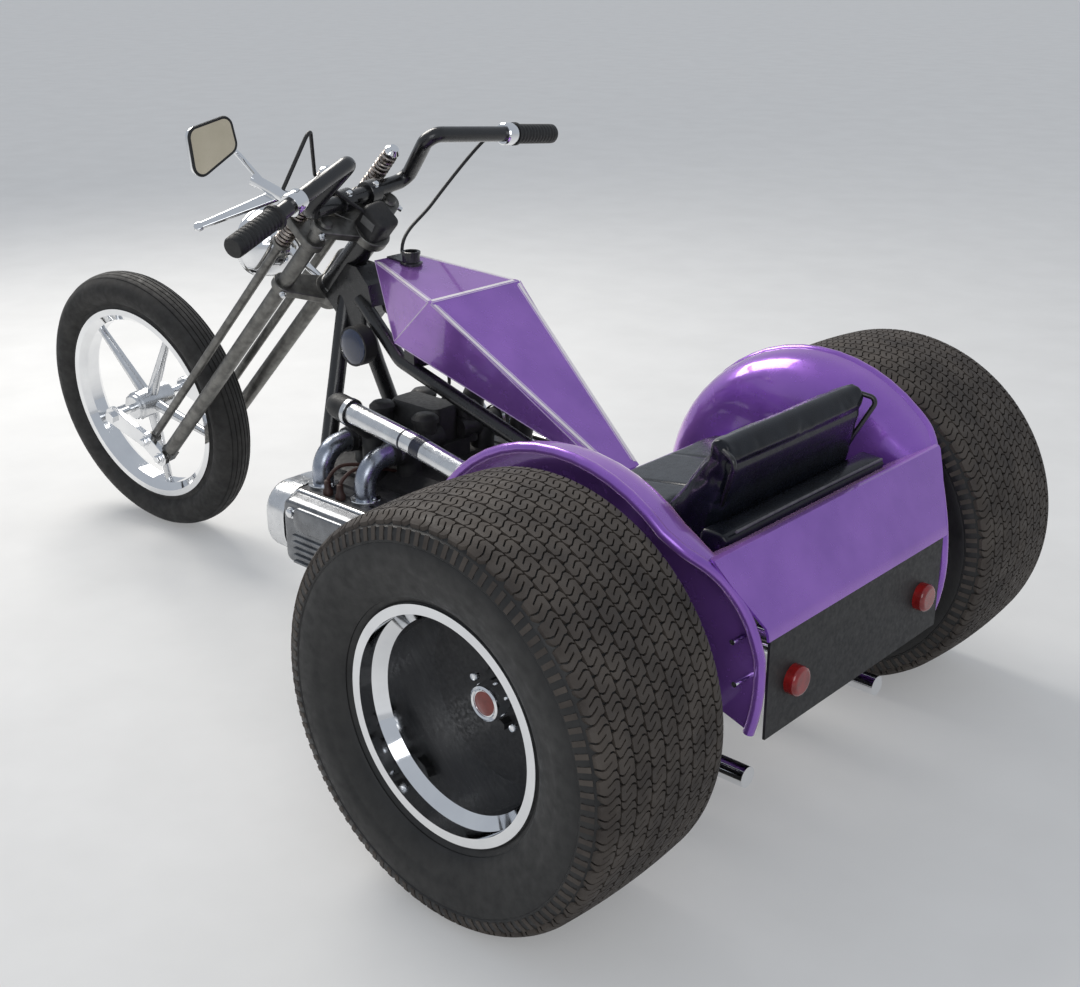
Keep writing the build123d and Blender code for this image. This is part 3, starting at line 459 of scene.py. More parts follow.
def capsule(start, end, start_half, end_half, steps=14):
    """Points round two circles and the bar that joins them."""
    start, end = Vector(start), Vector(end)
    run = end - start
    heading = atan2(run.y, run.x)
    spread = acos((start_half - end_half) / run.length)
    turns = [heading - spread + 2 * spread * k / steps for k in range(steps + 1)]
    result = [end + Vector((cos(turn), sin(turn))) * end_half for turn in turns]
    turns = [heading + spread + 2 * (pi - spread) * k / steps for k in range(steps + 1)]
    return result + [start + Vector((cos(turn), sin(turn))) * start_half for turn in turns]


def parabola(first, through, last, steps=8):
    """Points along a smooth curve through three."""
    first, through, last = Vector(first), Vector(through), Vector(last)
    return [
        first * (1 - t) * (1 - 2 * t) + through * 4 * t * (1 - t) + last * t * (2 * t - 1)
        for t in [k / steps for k in range(steps + 1)]
    ]


def add_slab(bm, corners, normal, thickness):
    """A plate on a flat outline."""
    tops = [bm.verts.new(corner + normal * (thickness / 1000)) for corner in corners]
    feet = [bm.verts.new(corner) for corner in corners]
    bm.faces.new(tops)
    bm.faces.new(feet)
    join_rings(bm, tops, feet)


def add_skin(bm, outlines):
    """A closed form through outlines of the same length."""
    rings = [[bm.verts.new(point) for point in outline] for outline in outlines]
    for first, second in zip(rings, rings[1:]):
        join_rings(bm, first, second)
    bm.faces.new(rings[0])
    bm.faces.new(rings[-1])


def add_hoop(bm, outlines):
    """A form that closes on itself, through outlines of the same length."""
    rings = [[bm.verts.new(point) for point in outline] for outline in outlines]
    for first, second in zip(rings, rings[1:] + rings[:1]):
        join_rings(bm, first, second)


def add_case(bm, spot_of, half_wide, half_high, corner, levels, steps=8):
    """A closed form of rounded rectangles, one for each (level, inset), whose points spot_of puts in their place."""
    add_skin(bm, [
        [spot_of(depth, p.x, p.y) for p in rounded_box(half_wide - inset, half_high - inset, corner - inset, steps)]
        for depth, inset in levels
    ])


def add_loop(bm, points, radius, sides=8):
    """A closed tube through points."""
    rings = []
    count = len(points)
    flat = (points[count // 3] - points[0]).cross(points[2 * count // 3] - points[0]).normalized()
    for k in range(count):
        run = (points[(k + 1) % count] - points[k - 1]).normalized()
        rings.append(ring_of(bm, points[k], flat, run.cross(flat), radius, sides))
    for k in range(count):
        join_rings(bm, rings[k], rings[(k + 1) % count])


def soften(item, width):
    """Round a piece's edges by a width."""
    edge = item.modifiers.new("edges", "BEVEL")
    edge.width = width / 1000
    edge.segments = 2
    edge.limit_method = "ANGLE"
    edge.angle_limit = radians(40)


# Fork: clamping trees, the springs' perch, leg tops, rockers
LEG_AHEAD = 55.0
SPRING_AHEAD = 115.0
LEG_LEFT = 102.0
LOWER_TREE = 1078.0
PERCH = 1237.0
UPPER_TREE = 1290.0
TREE_THICK = 20.0
ROCKER_THICK = 14.5

bm = bmesh.new()


def add_fork_plate(bm, outline, up):
    """A plate square to the steering axis."""
    add_slab(bm, [on_fork(p.x, p.y, up) for p in outline], STEER_AXIS, TREE_THICK)


for sign in (1, -1):
    leg = (LEG_AHEAD, sign * LEG_LEFT)
    shift = 0.15 * sign
    add_fork_plate(bm, capsule((0, 0), leg, 34, 27), LOWER_TREE + shift)
    add_fork_plate(bm, capsule((0, 0), leg, 20, 27), UPPER_TREE + shift)
    add_fork_plate(bm, capsule((39, 0), (78, sign * 42), 26, 20), UPPER_TREE + 2 * shift + 0.6)
    add_fork_plate(bm, capsule(leg, (SPRING_AHEAD, sign * LEG_LEFT), 26, 25), PERCH + shift)
add_fork_plate(bm, capsule((SPRING_AHEAD, LEG_LEFT), (SPRING_AHEAD, -LEG_LEFT), 16, 15.9), PERCH + 0.4)
add_turned(bm, on_fork(0, 0, LOWER_TREE - 22), STEER_AXIS, [
    (0, 0), (0, 30), (4, 34), (21, 34), (22, 40), (42.5, 40), (42.5, 0),
], 40)
add_turned(bm, on_fork(0, 0, UPPER_TREE - 0.8), STEER_AXIS, sleeve(21.5, 42), 40)
add_turned(bm, on_fork(0, 0, LOWER_TREE), STEER_AXIS, sleeve(220, 15), 24)
soften(piece("fork_clamps", bm, GREY, "steering", "fork_trees"), 2.2)

bm = bmesh.new()
for sign in (1, -1):
    add_turned(bm, on_fork(LEG_AHEAD, sign * LEG_LEFT, 1267.2), STEER_AXIS, [
        (0, 0), (0, 18), (45.5, 18), (47, 15.5), (51, 13.5), (52, 0),
    ], 32)
piece("fork_leg_tops", bm, GREY, "steering")

bm = bmesh.new()
for sign in (1, -1):
    side_face = STEER_LEFT * sign
    for outline, out in (
        (capsule((55, 330), (115, 324), 22, 23), 114.0), (capsule((115, 324), (232, 271.6), 21, 25), 114.3),
    ):
        add_slab(bm, [on_fork(p.x, sign * out, p.y) for p in outline], side_face, ROCKER_THICK)
    for ahead, up in ((55, 330), (115, 324)):
        add_bolt(bm, on_fork(ahead, sign * 128.5, up), side_face, 11, 11)
soften(piece("fork_rocker_plates", bm, CHROME, "steering", "fork_rockers"), 1.8)

# Handlebar, grips, risers and levers
BAR_RADIUS = 17.0
BAR_FIT = 17.2
BAR_LINE = ((-6, 497, 1480), (75, 118, 1505), (76, 163, 1337))
GRIP_LENGTH = 125.0


def bar_corner(sign, k):
    """A corner of the bar from its tip on, on the left (1) or right (-1)."""
    ahead, left, up = BAR_LINE[k]
    return on_fork(ahead, sign * left, up)


def bar_point(sign, distance):
    """A point on the bar's end run, this far in from its tip in millimetres."""
    tip = bar_corner(sign, 0)
    return tip + (bar_corner(sign, 1) - tip).normalized() * distance / 1000


bm = bmesh.new()
bar_line = [bar_corner(1, k) for k in (0, 1, 2)] + [bar_corner(-1, k) for k in (2, 1, 0)]
add_pipe(bm, bent(bar_line, 26, 9), BAR_RADIUS, 28)
piece("handlebar_tube", bm, BLACK, "steering", "handlebar")

bm = bmesh.new()
for sign in (1, -1):
    root = bar_point(sign, GRIP_LENGTH)
    out = bar_point(sign, 0) - root
    profile = [(0, BAR_FIT), (0, 26), (7, 26), (9, 22.5)]
    for k in range(11):
        along = 12 + 10.5 * k
        profile += [(along, 22.2), (along + 1.2, 21.3), (along + 2.4, 22.2)]
    profile += [(130, 21.8), (133.5, 19.5), (134, 0)]
    add_turned(bm, root, out, profile, 36)
piece("ribbed_grips", bm, SOFT, "steering", "grips")

bm = bmesh.new()
for sign in (1, -1):
    foot, top = on_fork(78, sign * 42, 1310), on_fork(76, sign * 42, 1337)
    add_pipe(bm, [foot, top], 16, 28)
    add_turned(bm, top - STEER_LEFT * 0.017, STEER_LEFT, [
        (0, BAR_FIT), (0, 24.5), (1.5, 26), (32.5, 26), (34, 24.5), (34, BAR_FIT),
    ], 36)
piece("riser_clamps", bm, BLACK, "steering", "bar_risers")

PERCH_END = on_fork(122, 338, 1464)
bm = bmesh.new()
add_turned(bm, bar_point(-1, 159), bar_point(-1, 127) - bar_point(-1, 159), [
    (0, BAR_FIT), (0, 22), (3, 25), (29, 25), (32, 23), (32, BAR_FIT),
], 36)
add_turned(bm, bar_point(1, 203), bar_point(1, 169) - bar_point(1, 203), [
    (0, BAR_FIT), (0, 22), (2, 23.5), (32, 23.5), (34, 22), (34, BAR_FIT),
], 36)
perch_run = (PERCH_END - bar_point(1, 186)).normalized()
add_pipe(bm, [
    bar_point(1, 186) + perch_run * 0.012, bar_point(1, 186) + perch_run * 0.030,
    PERCH_END - perch_run * 0.014, PERCH_END,
], [15.5, 12, 11.5, 13.5], 20)
piece("bar_perches", bm, CHROME, "steering", "bar_controls")

lever_root, lever_tip = on_fork(72, 318, 1468), on_fork(107, 450, 1378)
lever_run = (lever_tip - lever_root).normalized()
lever_up = (STEER_AXIS - lever_run * STEER_AXIS.dot(lever_run)).normalized()
lever_side = lever_up.cross(lever_run)
lever_length = (lever_tip - lever_root).length * 1000
bm = bmesh.new()
for start, half, end_half, thick in ((0, 12, 6.5, 9), (lever_length - 1, 9, 9, 10.4)):
    add_slab(bm, [
        lever_root + (lever_run * p.x + lever_side * p.y - lever_up * thick / 2) / 1000
        for p in capsule((start, 0), (lever_length, 0), half, end_half)
    ], lever_up, thick)
soften(piece("lever_blade", bm, CHROME, "steering", "clutch_lever"), 2)

# Mirror: a moulded shell of four unequal sides on a bent stem, a bead round its glass
MIRROR_CENTRE = on_fork(205, 385, 1490)
MIRROR_CORNERS = ((64, 32), (-36, 52), (-50, -15), (54, -70))
MIRROR_ROUND = 20.0


def mirror_outline(ahead, share):
    """The mirror's outline, moved ahead in millimetres and scaled about its middle."""
    return [
        MIRROR_CENTRE + Vector((ahead, p.x * share, p.y * share)) / 1000 for p in rounded(MIRROR_CORNERS, MIRROR_ROUND)
    ]


bm = bmesh.new()
add_skin(bm, [mirror_outline(ahead, share) for ahead, share in (
    (-5.0, 0.985), (-1.0, 1.0), (6.0, 0.985), (12.0, 0.94), (16.5, 0.86), (19.0, 0.74), (20.0, 0.60),
)])
stem_start = PERCH_END - perch_run * 0.018 + STEER_AXIS * 0.006
add_pipe(bm, bent([
    stem_start, MIRROR_CENTRE + Vector((0.024, -0.064, -0.024)), MIRROR_CENTRE + Vector((0.013, -0.028, -0.005)),
], 16), 5.5, 16)
piece("mirror_housing", bm, CHROME, "steering", "mirror_shell")
bm = bmesh.new()
add_skin(bm, [mirror_outline(ahead, 0.93) for ahead in (-5.6, -4.0)])
piece("mirror_face", bm, MIRROR, "steering", "mirror_glass", smooth=False)
bm = bmesh.new()
add_loop(bm, mirror_outline(-3.8, 0.965), 3.2)
piece("mirror_bead", bm, SOFT, "steering")

# Headlamp: a round shell with a rim and a domed lens, on a bracket from the lower tree
LAMP_CENTRE = on_fork(192, 0, 1022)
LAMP_RADIUS = 78.0
lamp_forward = (STEER_AHEAD - STEER_AXIS).normalized()
bm = bmesh.new()
dome = [(-LAMP_RADIUS * cos(radians(k * 6)), LAMP_RADIUS * sin(radians(k * 6))) for k in range(16)]
add_turned(bm, LAMP_CENTRE, lamp_forward, dome + [
    (12, 78.5), (14, 80.5), (20, 81.5), (25, 79), (26, 74), (18, 72), (18, 0),
], 56)
add_pipe(bm, [on_fork(36, 0, LOWER_TREE + 10), LAMP_CENTRE - lamp_forward * 0.060], 9, 16)
piece("headlamp_bowl", bm, CHROME, "steering", "headlamp_shell", "headlamp_bracket")
bm = bmesh.new()
add_turned(bm, LAMP_CENTRE, lamp_forward, [
    (18.5, 0), (18.5, 72.5), (24, 72.5), (28, 62), (31.5, 42), (33, 20), (33.5, 0),
], 48)
piece("headlamp_dome", bm, CLEAR, "steering", "headlamp_lens")

# Switch box on the upper tree, with a blank tag; a stiff cable looped to it from the left perch
bm = bmesh.new()
add_case(
    bm, lambda up, x, y: on_fork(5 + x, y, up), 35, 32, 16,
    ((1310.5, 0), (1356, 0), (1361, 1.5), (1364.5, 5), (1366, 10)),
)
piece("switch_housing", bm, BLACK_SATIN, "steering", "switch_box")
bm = bmesh.new()
add_pipe(bm, bent([
    on_fork(66, 320, 1488), on_fork(130, 240, 1577), on_fork(115, 140, 1408), on_fork(24, 24, 1350),
], [18, 40], 9), 4, 12)
piece("looped_cable", bm, SOFT, "steering")

# Front wheel's hub and tapered spokes
FRONT_HUB = on_fork(232.0, 0, 271.6)
bm = bmesh.new()
add_turned(bm, FRONT_HUB - STEER_LEFT * 0.060, STEER_LEFT, [
    (0, 10.5), (0, 30), (4, 34), (10, 34), (14, 38), (106, 38), (110, 34),
    (116, 34), (120, 30), (120, 10.5),
], 44)
for count in range(5):
    turn = radians(5 + 72 * count)
    radial = STEER_AHEAD * cos(turn) + STEER_AXIS * sin(turn)
    add_pipe(bm, [FRONT_HUB + radial * r for r in (0.030, 0.042, 0.232)], [16.5, 15, 10], 24)
piece("front_spider", bm, POLISHED, "front_wheel", "front_spokes", slot="chrome")

# Frame: the steering head's upper end, a web between the downtubes, the backrest's stays
bm = bmesh.new()
add_turned(bm, on_fork(0, 0, 1096.5), STEER_AXIS, [
    (0, 16), (0, 31.5), (14, 31.5), (16, 29.3), (176, 29.3), (178, 31.5), (192, 31.5), (192, 16),
], 40)
piece("head_tube", bm, BLACK, "frame")
bm = bmesh.new()
add_slab(bm, [at(994, y, z) for y, z in ((-14, 745), (14, 745), (46, 650), (-46, 650))], AHEAD, 24)
soften(piece("downtube_web", bm, BLACK, "frame"), 3)
bm = bmesh.new()
for sign in (1, -1):
    add_pipe(bm, bent([at(-172, sign * 214, 738), at(-206, sign * 228, 730), at(-146, sign * 190, 600)], 12), 5, 14)
piece("backrest_stays", bm, BLACK, "frame")

# Engine: heads, ribbed covers, belt covers, runners, air box and carburettors, coolant pipes and hoses
ENGINE_MIDDLE = 748.5
ENGINE_Z = 342.0
BELT_Y = 236.0
RUNNER_XS = (848.0, 712.0)
RUNNER_Y = 240.0
PIPE_Y = 252.0
PIPE_LINE = ((752, 620), (545, 590), (300, 542))


def cover_ring(sign, y, half, rise, radius):
    """A rounded outline on the engine's side."""
    return [at(ENGINE_MIDDLE + p.x, sign * y, ENGINE_Z + p.y) for p in rounded_box(half, rise, radius, 6)]


heads, covers = bmesh.new(), bmesh.new()
for sign in (1, -1):
    add_skin(heads, [cover_ring(sign, y, 136 - inset, 78 - inset, 10) for y, inset in (
        (165, 0), (205, 0), (208, 5), (214, 5), (217, 0), (245, 0), (248, 5), (254, 5), (257, 0), (290, 0),
    )])
    for up, half, rise, corner, levels in (
        (0, 133.5, 82, 30, ((290, 0), (318, 7), (328, 9.5), (332, 11.5), (334.4, 14.5), (335, 18))),
        (36, 86, 28, 20, ((333, 0), (338, 1), (340.5, 2.5), (341.5, 5))),
        *[(-6 - 15 * k, 94, 3, 2.5, ((333, 0), (339, 0.3), (340, 1.2))) for k in range(5)],
    ):
        add_case(
            covers, lambda y, x, z: at(ENGINE_MIDDLE + x, sign * y, ENGINE_Z + up + z), half, rise, corner, levels, 6,
        )
piece("head_castings", heads, ENGINE_CAST, "frame", "cylinder_heads")
piece("ribbed_covers", covers, COVER_ALLOY, "frame", "valve_covers")

bm = bmesh.new()
for sign in (1, -1):
    add_case(
        bm, lambda x, y, z: at(x, sign * BELT_Y + y, ENGINE_Z + z), 90, 78, 62,
        ((885, 0), (938, 0), (944, 1.5), (949, 5), (951, 11)),
    )
add_slab(bm, [at(925, p.x, ENGINE_Z + p.y) for p in rounded_box(200, 55, 12)], AHEAD, 24)
piece("belt_housings", bm, POLISHED, "frame", "belt_covers")

runners, boots, pipes, carbs = bmesh.new(), bmesh.new(), bmesh.new(), bmesh.new()
for sign in (1, -1):
    for x in RUNNER_XS:
        for tubes, corners, bend, steps, radius in (
            (runners, ((RUNNER_Y, 418), (RUNNER_Y, 501), (168, 507)), 54, 12, 23),
            (boots, ((172, 507), (112, 501), (112, 445)), 34, 9, 27),
        ):
            add_pipe(tubes, bent([at(x, sign * y, z) for y, z in corners], bend, steps), radius, 28)
        add_pipe(carbs, [at(x, sign * 30, 513), at(x, sign * 84, 513)], 29, 28)
        add_turned(carbs, at(x, sign * 62, 480), UP, [
            (0, 25), (71, 25), (72, 30), (80, 30), (88, 22), (90, 12), (90, 0),
        ], 28)
    add_pipe(boots, bent([
        at(727, sign * PIPE_Y, 617), at(790, sign * PIPE_Y, 626), at(780, sign * 150, 540), at(780, sign * 150, 432),
    ], 30, 9), 26.5, 28)
for half_x, half_y, corner, levels in (
    (90, 58, 12, ((455, 0), (493, 0), (495, 4))), (74, 40, 22, ((494, 0), (564, 0), (570, 4))),
):
    add_case(carbs, lambda z, x, y: at(780 + x, y, z), half_x, half_y, corner, levels)
add_pipe(pipes, bent([at(x, PIPE_Y, z) for x, z in PIPE_LINE], 300, 9), 22.5, 32)
add_pipe(pipes, [at(752, -PIPE_Y, 620), at(620, -PIPE_Y, 601)], 22.5, 32)
add_pipe(boots, bent([
    at(645, -PIPE_Y, 604), at(580, -PIPE_Y, 596), at(624, -150, 530), at(634, -150, 432),
], 28, 9), 26.5, 28)
add_pipe(boots, bent([
    at(325, PIPE_Y, 547), at(264, PIPE_Y, 534), at(280, 180, 440), at(410, 70, 380),
], 28, 9), 26.5, 28)
piece("bent_runners", runners, RUNNER_STEEL, "frame", "intake_runners")
piece("hose_elbows", boots, SOFT, "frame", "rubber_hoses")
piece("air_box", carbs, BLACK_SATIN, "frame", "carburettors")
piece("polished_pipes", pipes, POLISHED, "frame", "coolant_pipes")

# Body: fender bowls that flare into the rear panel, beads along their edges, the panel between them
WALL_Y = 300.0
EDGE_Y = 405.0
ARCH_X, ARCH_Z, ARCH_RADIUS = 25.0, 403.0, 336.0
BOWL_FOOT = 262.0
WALL_FOOT = 200.0
SKIN = 5.0
DECK_Z = 527.0
DECK_Y = 299.5
# Rows of (angle about the arch, rise over its radius, the edge's distance out) where the fender flares
FLARE = ((131, 0, 405), (138, 6, 394), (145, 11, 366), (151, 12, 345), (161, 14, 323), (174, 17, 308))


def bowl_section(radius, edge):
    """The fender in section: outside and inside lines of (radius, distance out) about the arch."""
    reach = edge - WALL_Y
    bend, mid = WALL_Y + 0.69 * reach, WALL_Y + 0.21 * reach
    rim = radius + SKIN
    outside = [Vector((rim, edge))] + parabola((rim - 2, bend), (rim - 27, mid), (BOWL_FOOT, WALL_Y))
    inside = parabola((BOWL_FOOT, WALL_Y + SKIN), (radius - 26, mid + 4), (radius - 2, bend + 2))
    inside = [Vector((WALL_FOOT, WALL_Y + SKIN))] + inside + [Vector((radius, edge))]
    return outside + [Vector((WALL_FOOT, WALL_Y))], inside


def arch_spot(angle, radius, y):
    """A point about the arch, the angle in degrees up from straight ahead."""
    return at(ARCH_X + radius * cos(radians(angle)), y, ARCH_Z + radius * sin(radians(angle)))


fender_line = [Vector((12 + 7 * k, 0, EDGE_Y)) for k in range(17)]
fender_line += smooth_path([Vector(row) for row in FLARE], 5)
fender_line += [Vector((174 + 23 * k / 5, 17, 308)) for k in range(1, 6)]


def panel_reach(x, z):
    """How far out the rear panel goes at a place before it meets the fender."""
    radius = sqrt((x - ARCH_X) ** 2 + (z - ARCH_Z) ** 2)
    angle = degrees(atan2(z - ARCH_Z, x - ARCH_X))
    row = min(fender_line, key=lambda spot: abs(spot.x - angle))
    outside = bowl_section(ARCH_RADIUS + row.y, row.z)[0]
    for outer, inner in zip(outside, outside[1:]):
        if radius >= outer.x:
            return outer.y
        if radius >= inner.x:
            share = (radius - inner.x) / max(outer.x - inner.x, 0.001)
            return inner.y + (outer.y - inner.y) * share
    return WALL_Y


for side, sign in (("left", 1), ("right", -1)):
    bowl, bead = bmesh.new(), bmesh.new()
    outlines, edge_line = [], []
    for angle, rise, edge in fender_line:
        outside, inside = bowl_section(ARCH_RADIUS + rise, edge)
        outlines.append([arch_spot(angle, p.x, sign * p.y) for p in outside + inside])
        edge_line.append(arch_spot(angle, ARCH_RADIUS + rise, sign * edge))
    add_skin(bowl, outlines)
    add_pipe(bead, edge_line, 10, 18)
    piece(f"fender_bowl_{side}", bowl, PURPLE, "frame", f"fender_{side}")
    piece(f"fender_bead_{side}", bead, PURPLE, "frame", f"fender_lip_{side}")

# Rows of (ahead, up, farthest out) down the panel, over its top edge
PANEL_LINE = (
    (-190, 530, 299), (-195, 555, 302), (-200, 574, 310), (-206, 580, 330), (-232, 596, 366), (-256, 610.5, 366),
    (-262, 613.5, 366), (-265.5, 613, 366), (-268, 609, 365), (-287, 571, 346), (-307, 530, 322), (-326, 492, 300),
    (-330, 482, 299), (-331.5, 470.6, 299),
)
outlines = []
for k, (x, z, limit) in enumerate(PANEL_LINE):
    before, after = PANEL_LINE[max(k - 1, 0)], PANEL_LINE[min(k + 1, len(PANEL_LINE) - 1)]
    run = Vector((after[0] - before[0], 0, after[1] - before[1])).normalized()
    under = Vector((run.z, 0, -run.x)) * -SKIN
    half = min(limit, panel_reach(x, z) + 1)
    spots = [half * (1 - j / 8) for j in range(17)]
    outlines.append([at(x, y, z) for y in spots] + [at(x - under.x, y, z - under.z) for y in reversed(spots)])
bm = bmesh.new()
add_skin(bm, outlines)
deck = [at(x, y, DECK_Z) for x, y in ((230, DECK_Y), (-194, DECK_Y), (-194, -DECK_Y), (230, -DECK_Y))]
add_slab(bm, deck, UP, SKIN)
piece("body_moulding", bm, PURPLE, "frame", "rear_body")

# Rear tyres: a carcass with bulging walls and interlocking blocks over the tread
TYRE_RADIUS = 0.365
TYRE_HALF = 0.160
TYRE_SHOULDER = 0.038
CROWN_DROP = 0.009
BEAD_RADIUS = 0.196
BEAD_HALF = 0.127
TREAD_DEPTH = 0.0065
TREAD_HALF = 0.150
TREAD_COLUMNS = 9
BLOCKS_ROUND = 54
BLOCK_ACROSS = (-0.46, -0.33, -0.19, 0.0, 0.19, 0.33, 0.46)
BLOCK_ROUND = (-0.46, -0.33, -0.20, -0.12, 0.0, 0.12, 0.20, 0.33, 0.46)
BLOCK_WAVE = 0.11
BLOCK_CORNER = 0.07
BLOCK_NOTCH = (0.12, 0.20)
BLOCK_NECK = 0.19
BLOCK_SUNK = 0.001
BLOCK_EDGE = 0.1545
SHOULDER_RIBS = 104
RIB_ENDS = ((0.1530, 0.3405, (0.28, 0.72)), (0.1597, 0.320, (0.72, 0.28)))
CARCASS_STEPS = 144
WHEEL_Y = 585.0
WHEEL_UP = 365.0


def tread_radius(y):
    """The tread's outer radius at a distance from the tyre's middle."""
    y = min(abs(y), TYRE_HALF)
    corner = TYRE_HALF - TYRE_SHOULDER
    radius = TYRE_RADIUS - CROWN_DROP * (y / TYRE_HALF) ** 2
    if y <= corner:
        return radius
    edge = TYRE_RADIUS - CROWN_DROP * (corner / TYRE_HALF) ** 2 - TYRE_SHOULDER
    return edge + sqrt(max(TYRE_SHOULDER ** 2 - (y - corner) ** 2, 0))


def block_template():
    """An S-shaped block as a grid: vertices as shares of its cell, faces, and edges round its outline."""
    spots, faces = {}, []
    across, around = BLOCK_ACROSS, BLOCK_ROUND
    for i in range(len(across) - 1):
        for j in range(len(around) - 1):
            x = (across[i] + across[i + 1]) / 2
            y = (around[j] + around[j + 1]) / 2
            notched = BLOCK_NOTCH[0] < abs(y) < BLOCK_NOTCH[1]
            if notched and x * y > -BLOCK_NECK * abs(y):
                continue
            corners = ((i, j), (i + 1, j), (i + 1, j + 1), (i, j + 1))
            faces.append([spots.setdefault(corner, len(spots)) for corner in corners])
    places = []
    for i, j in spots:
        x, y = across[i], around[j]
        if i in (0, len(across) - 1) and j in (0, len(around) - 1):
            x -= BLOCK_CORNER * (1 if x > 0 else -1)
            y -= BLOCK_CORNER * 0.6 * (1 if y > 0 else -1)
        places.append((x, y + BLOCK_WAVE * sin(2 * pi * x)))
    sides = [(face[k], face[(k + 1) % 4]) for face in faces for k in range(4)]
    rim = [side for side in sides if (side[1], side[0]) not in sides]
    return places, faces, rim


def on_tyre(centre, y, turn, radius):
    """A point on a rear tyre, by its distance from the middle, its turn and its radius."""
    return centre + Vector((radius * cos(turn), y, radius * sin(turn)))


def carcass_profile():
    """Half of the carcass in section, from the tread's middle out and down to the bead."""
    profile = [(k * 0.02, tread_radius(k * 0.02) - TREAD_DEPTH) for k in range(7)]
    profile += [(y, tread_radius(y) - TREAD_DEPTH) for y in (0.130, 0.138, 0.145, 0.150)]
    profile += [
        (0.1535, 0.3395), (0.1575, 0.331), (0.1592, 0.323), (0.1600, 0.318), (0.1585, 0.316), (0.1598, 0.313),
        (0.1605, 0.300), (0.1600, 0.286), (0.1585, 0.272), (0.1565, 0.268), (0.1555, 0.262), (0.1510, 0.246),
        (0.1440, 0.229), (0.1400, 0.222), (0.1375, 0.2195), (0.1350, 0.2195), (0.1310, 0.212),
        (0.1270, 0.208), (BEAD_HALF, BEAD_RADIUS),
    ]
    return profile


for side, sign in (("left", 1), ("right", -1)):
    hub = at(0, sign * WHEEL_Y, WHEEL_UP)
    body = f"rear_wheel_{side}"
    half = carcass_profile()
    loop = [(-y, r) for y, r in half[::-1]] + half[1:]
    bm = bmesh.new()
    turns = [2 * pi * k / CARCASS_STEPS for k in range(CARCASS_STEPS)]
    add_hoop(bm, [[on_tyre(hub, y, turn, r) for y, r in loop] for turn in turns])
    piece(f"rear_carcass_{side}", bm, WALL, body, f"rear_tyre_{side}")

    bm = bmesh.new()
    column = 2 * TREAD_HALF / TREAD_COLUMNS
    places, faces, rim = block_template()
    for lane in range(TREAD_COLUMNS):
        for count in range(BLOCKS_ROUND):
            phase = 0.5 * (lane % 2)
            tops, feet = [], []
            for x, y in places:
                out = max(-BLOCK_EDGE, min(BLOCK_EDGE, -TREAD_HALF + (lane + 0.5 + x) * column))
                turn = 2 * pi * (count + phase + y) / BLOCKS_ROUND
                radius = tread_radius(out)
                tops.append(bm.verts.new(on_tyre(hub, out, turn, radius)))
                feet.append(bm.verts.new(on_tyre(hub, out, turn, radius - TREAD_DEPTH - BLOCK_SUNK)))
            for face in faces:
                bm.faces.new([tops[k] for k in face])
            for start, end in rim:
                bm.faces.new((tops[start], feet[start], feet[end], tops[end]))
    for count in range(SHOULDER_RIBS):
        for edge in (1, -1):
            corners = []
            for y, r, shares in RIB_ENDS:
                corners += [(edge * y, 2 * pi * (count + share) / SHOULDER_RIBS, r) for share in shares]
            outer = [bm.verts.new(on_tyre(hub, y + edge * 0.0016, turn, r + 0.0012)) for y, turn, r in corners]
            inner = [bm.verts.new(on_tyre(hub, y - edge * 0.003, turn, r - 0.002)) for y, turn, r in corners]
            bm.faces.new(outer)
            join_rings(bm, outer, inner)
    piece(f"rear_tread_{side}", bm, TREAD, body, smooth=False)

# Front tyre: a round section with fine grooves round it
FRONT_RADIUS = 0.356
FRONT_ROUND = 0.044
FRONT_HALF = 0.050
FRONT_BEAD = 0.254
FRONT_BEAD_HALF = 0.031
FRONT_STEPS = 160
GROOVES = (-0.030, -0.018, -0.006, 0.006, 0.018, 0.030)
GROOVE_SECTION = ((-0.0014, 0), (-0.0009, 0.003), (0.0009, 0.003), (0.0014, 0))
GROOVE_CLEAR = 0.0022


def front_round(y):
    """The front tyre's outer radius at a distance from its middle."""
    return FRONT_RADIUS - FRONT_ROUND + FRONT_ROUND * sqrt(max(1 - (y / FRONT_HALF) ** 2, 0))


crown = [round(-FRONT_HALF + 2 * FRONT_HALF * k / 26, 5) for k in range(27)]
crown = [(y, front_round(y)) for y in crown if min(abs(y - groove) for groove in GROOVES) > GROOVE_CLEAR]
for groove in GROOVES:
    crown += [(groove + aside, front_round(groove) - deep) for aside, deep in GROOVE_SECTION]
crown.sort()
low = [(y, 2 * (FRONT_RADIUS - FRONT_ROUND) - front_round(y)) for y in (0.046, 0.040, FRONT_BEAD_HALF)]
loop = [(-y, r) for y, r in low[::-1]] + crown + low + [(FRONT_BEAD_HALF, FRONT_BEAD), (-FRONT_BEAD_HALF, FRONT_BEAD)]
bm = bmesh.new()
turns = [2 * pi * k / FRONT_STEPS for k in range(FRONT_STEPS)]
spokes = [STEER_AHEAD * cos(turn) + STEER_AXIS * sin(turn) for turn in turns]
add_hoop(bm, [[FRONT_HUB + spoke * r + STEER_LEFT * y for y, r in loop] for spoke in spokes])
piece("front_tyre_grooved", bm, RUBBER, "front_wheel", "front_tyre")

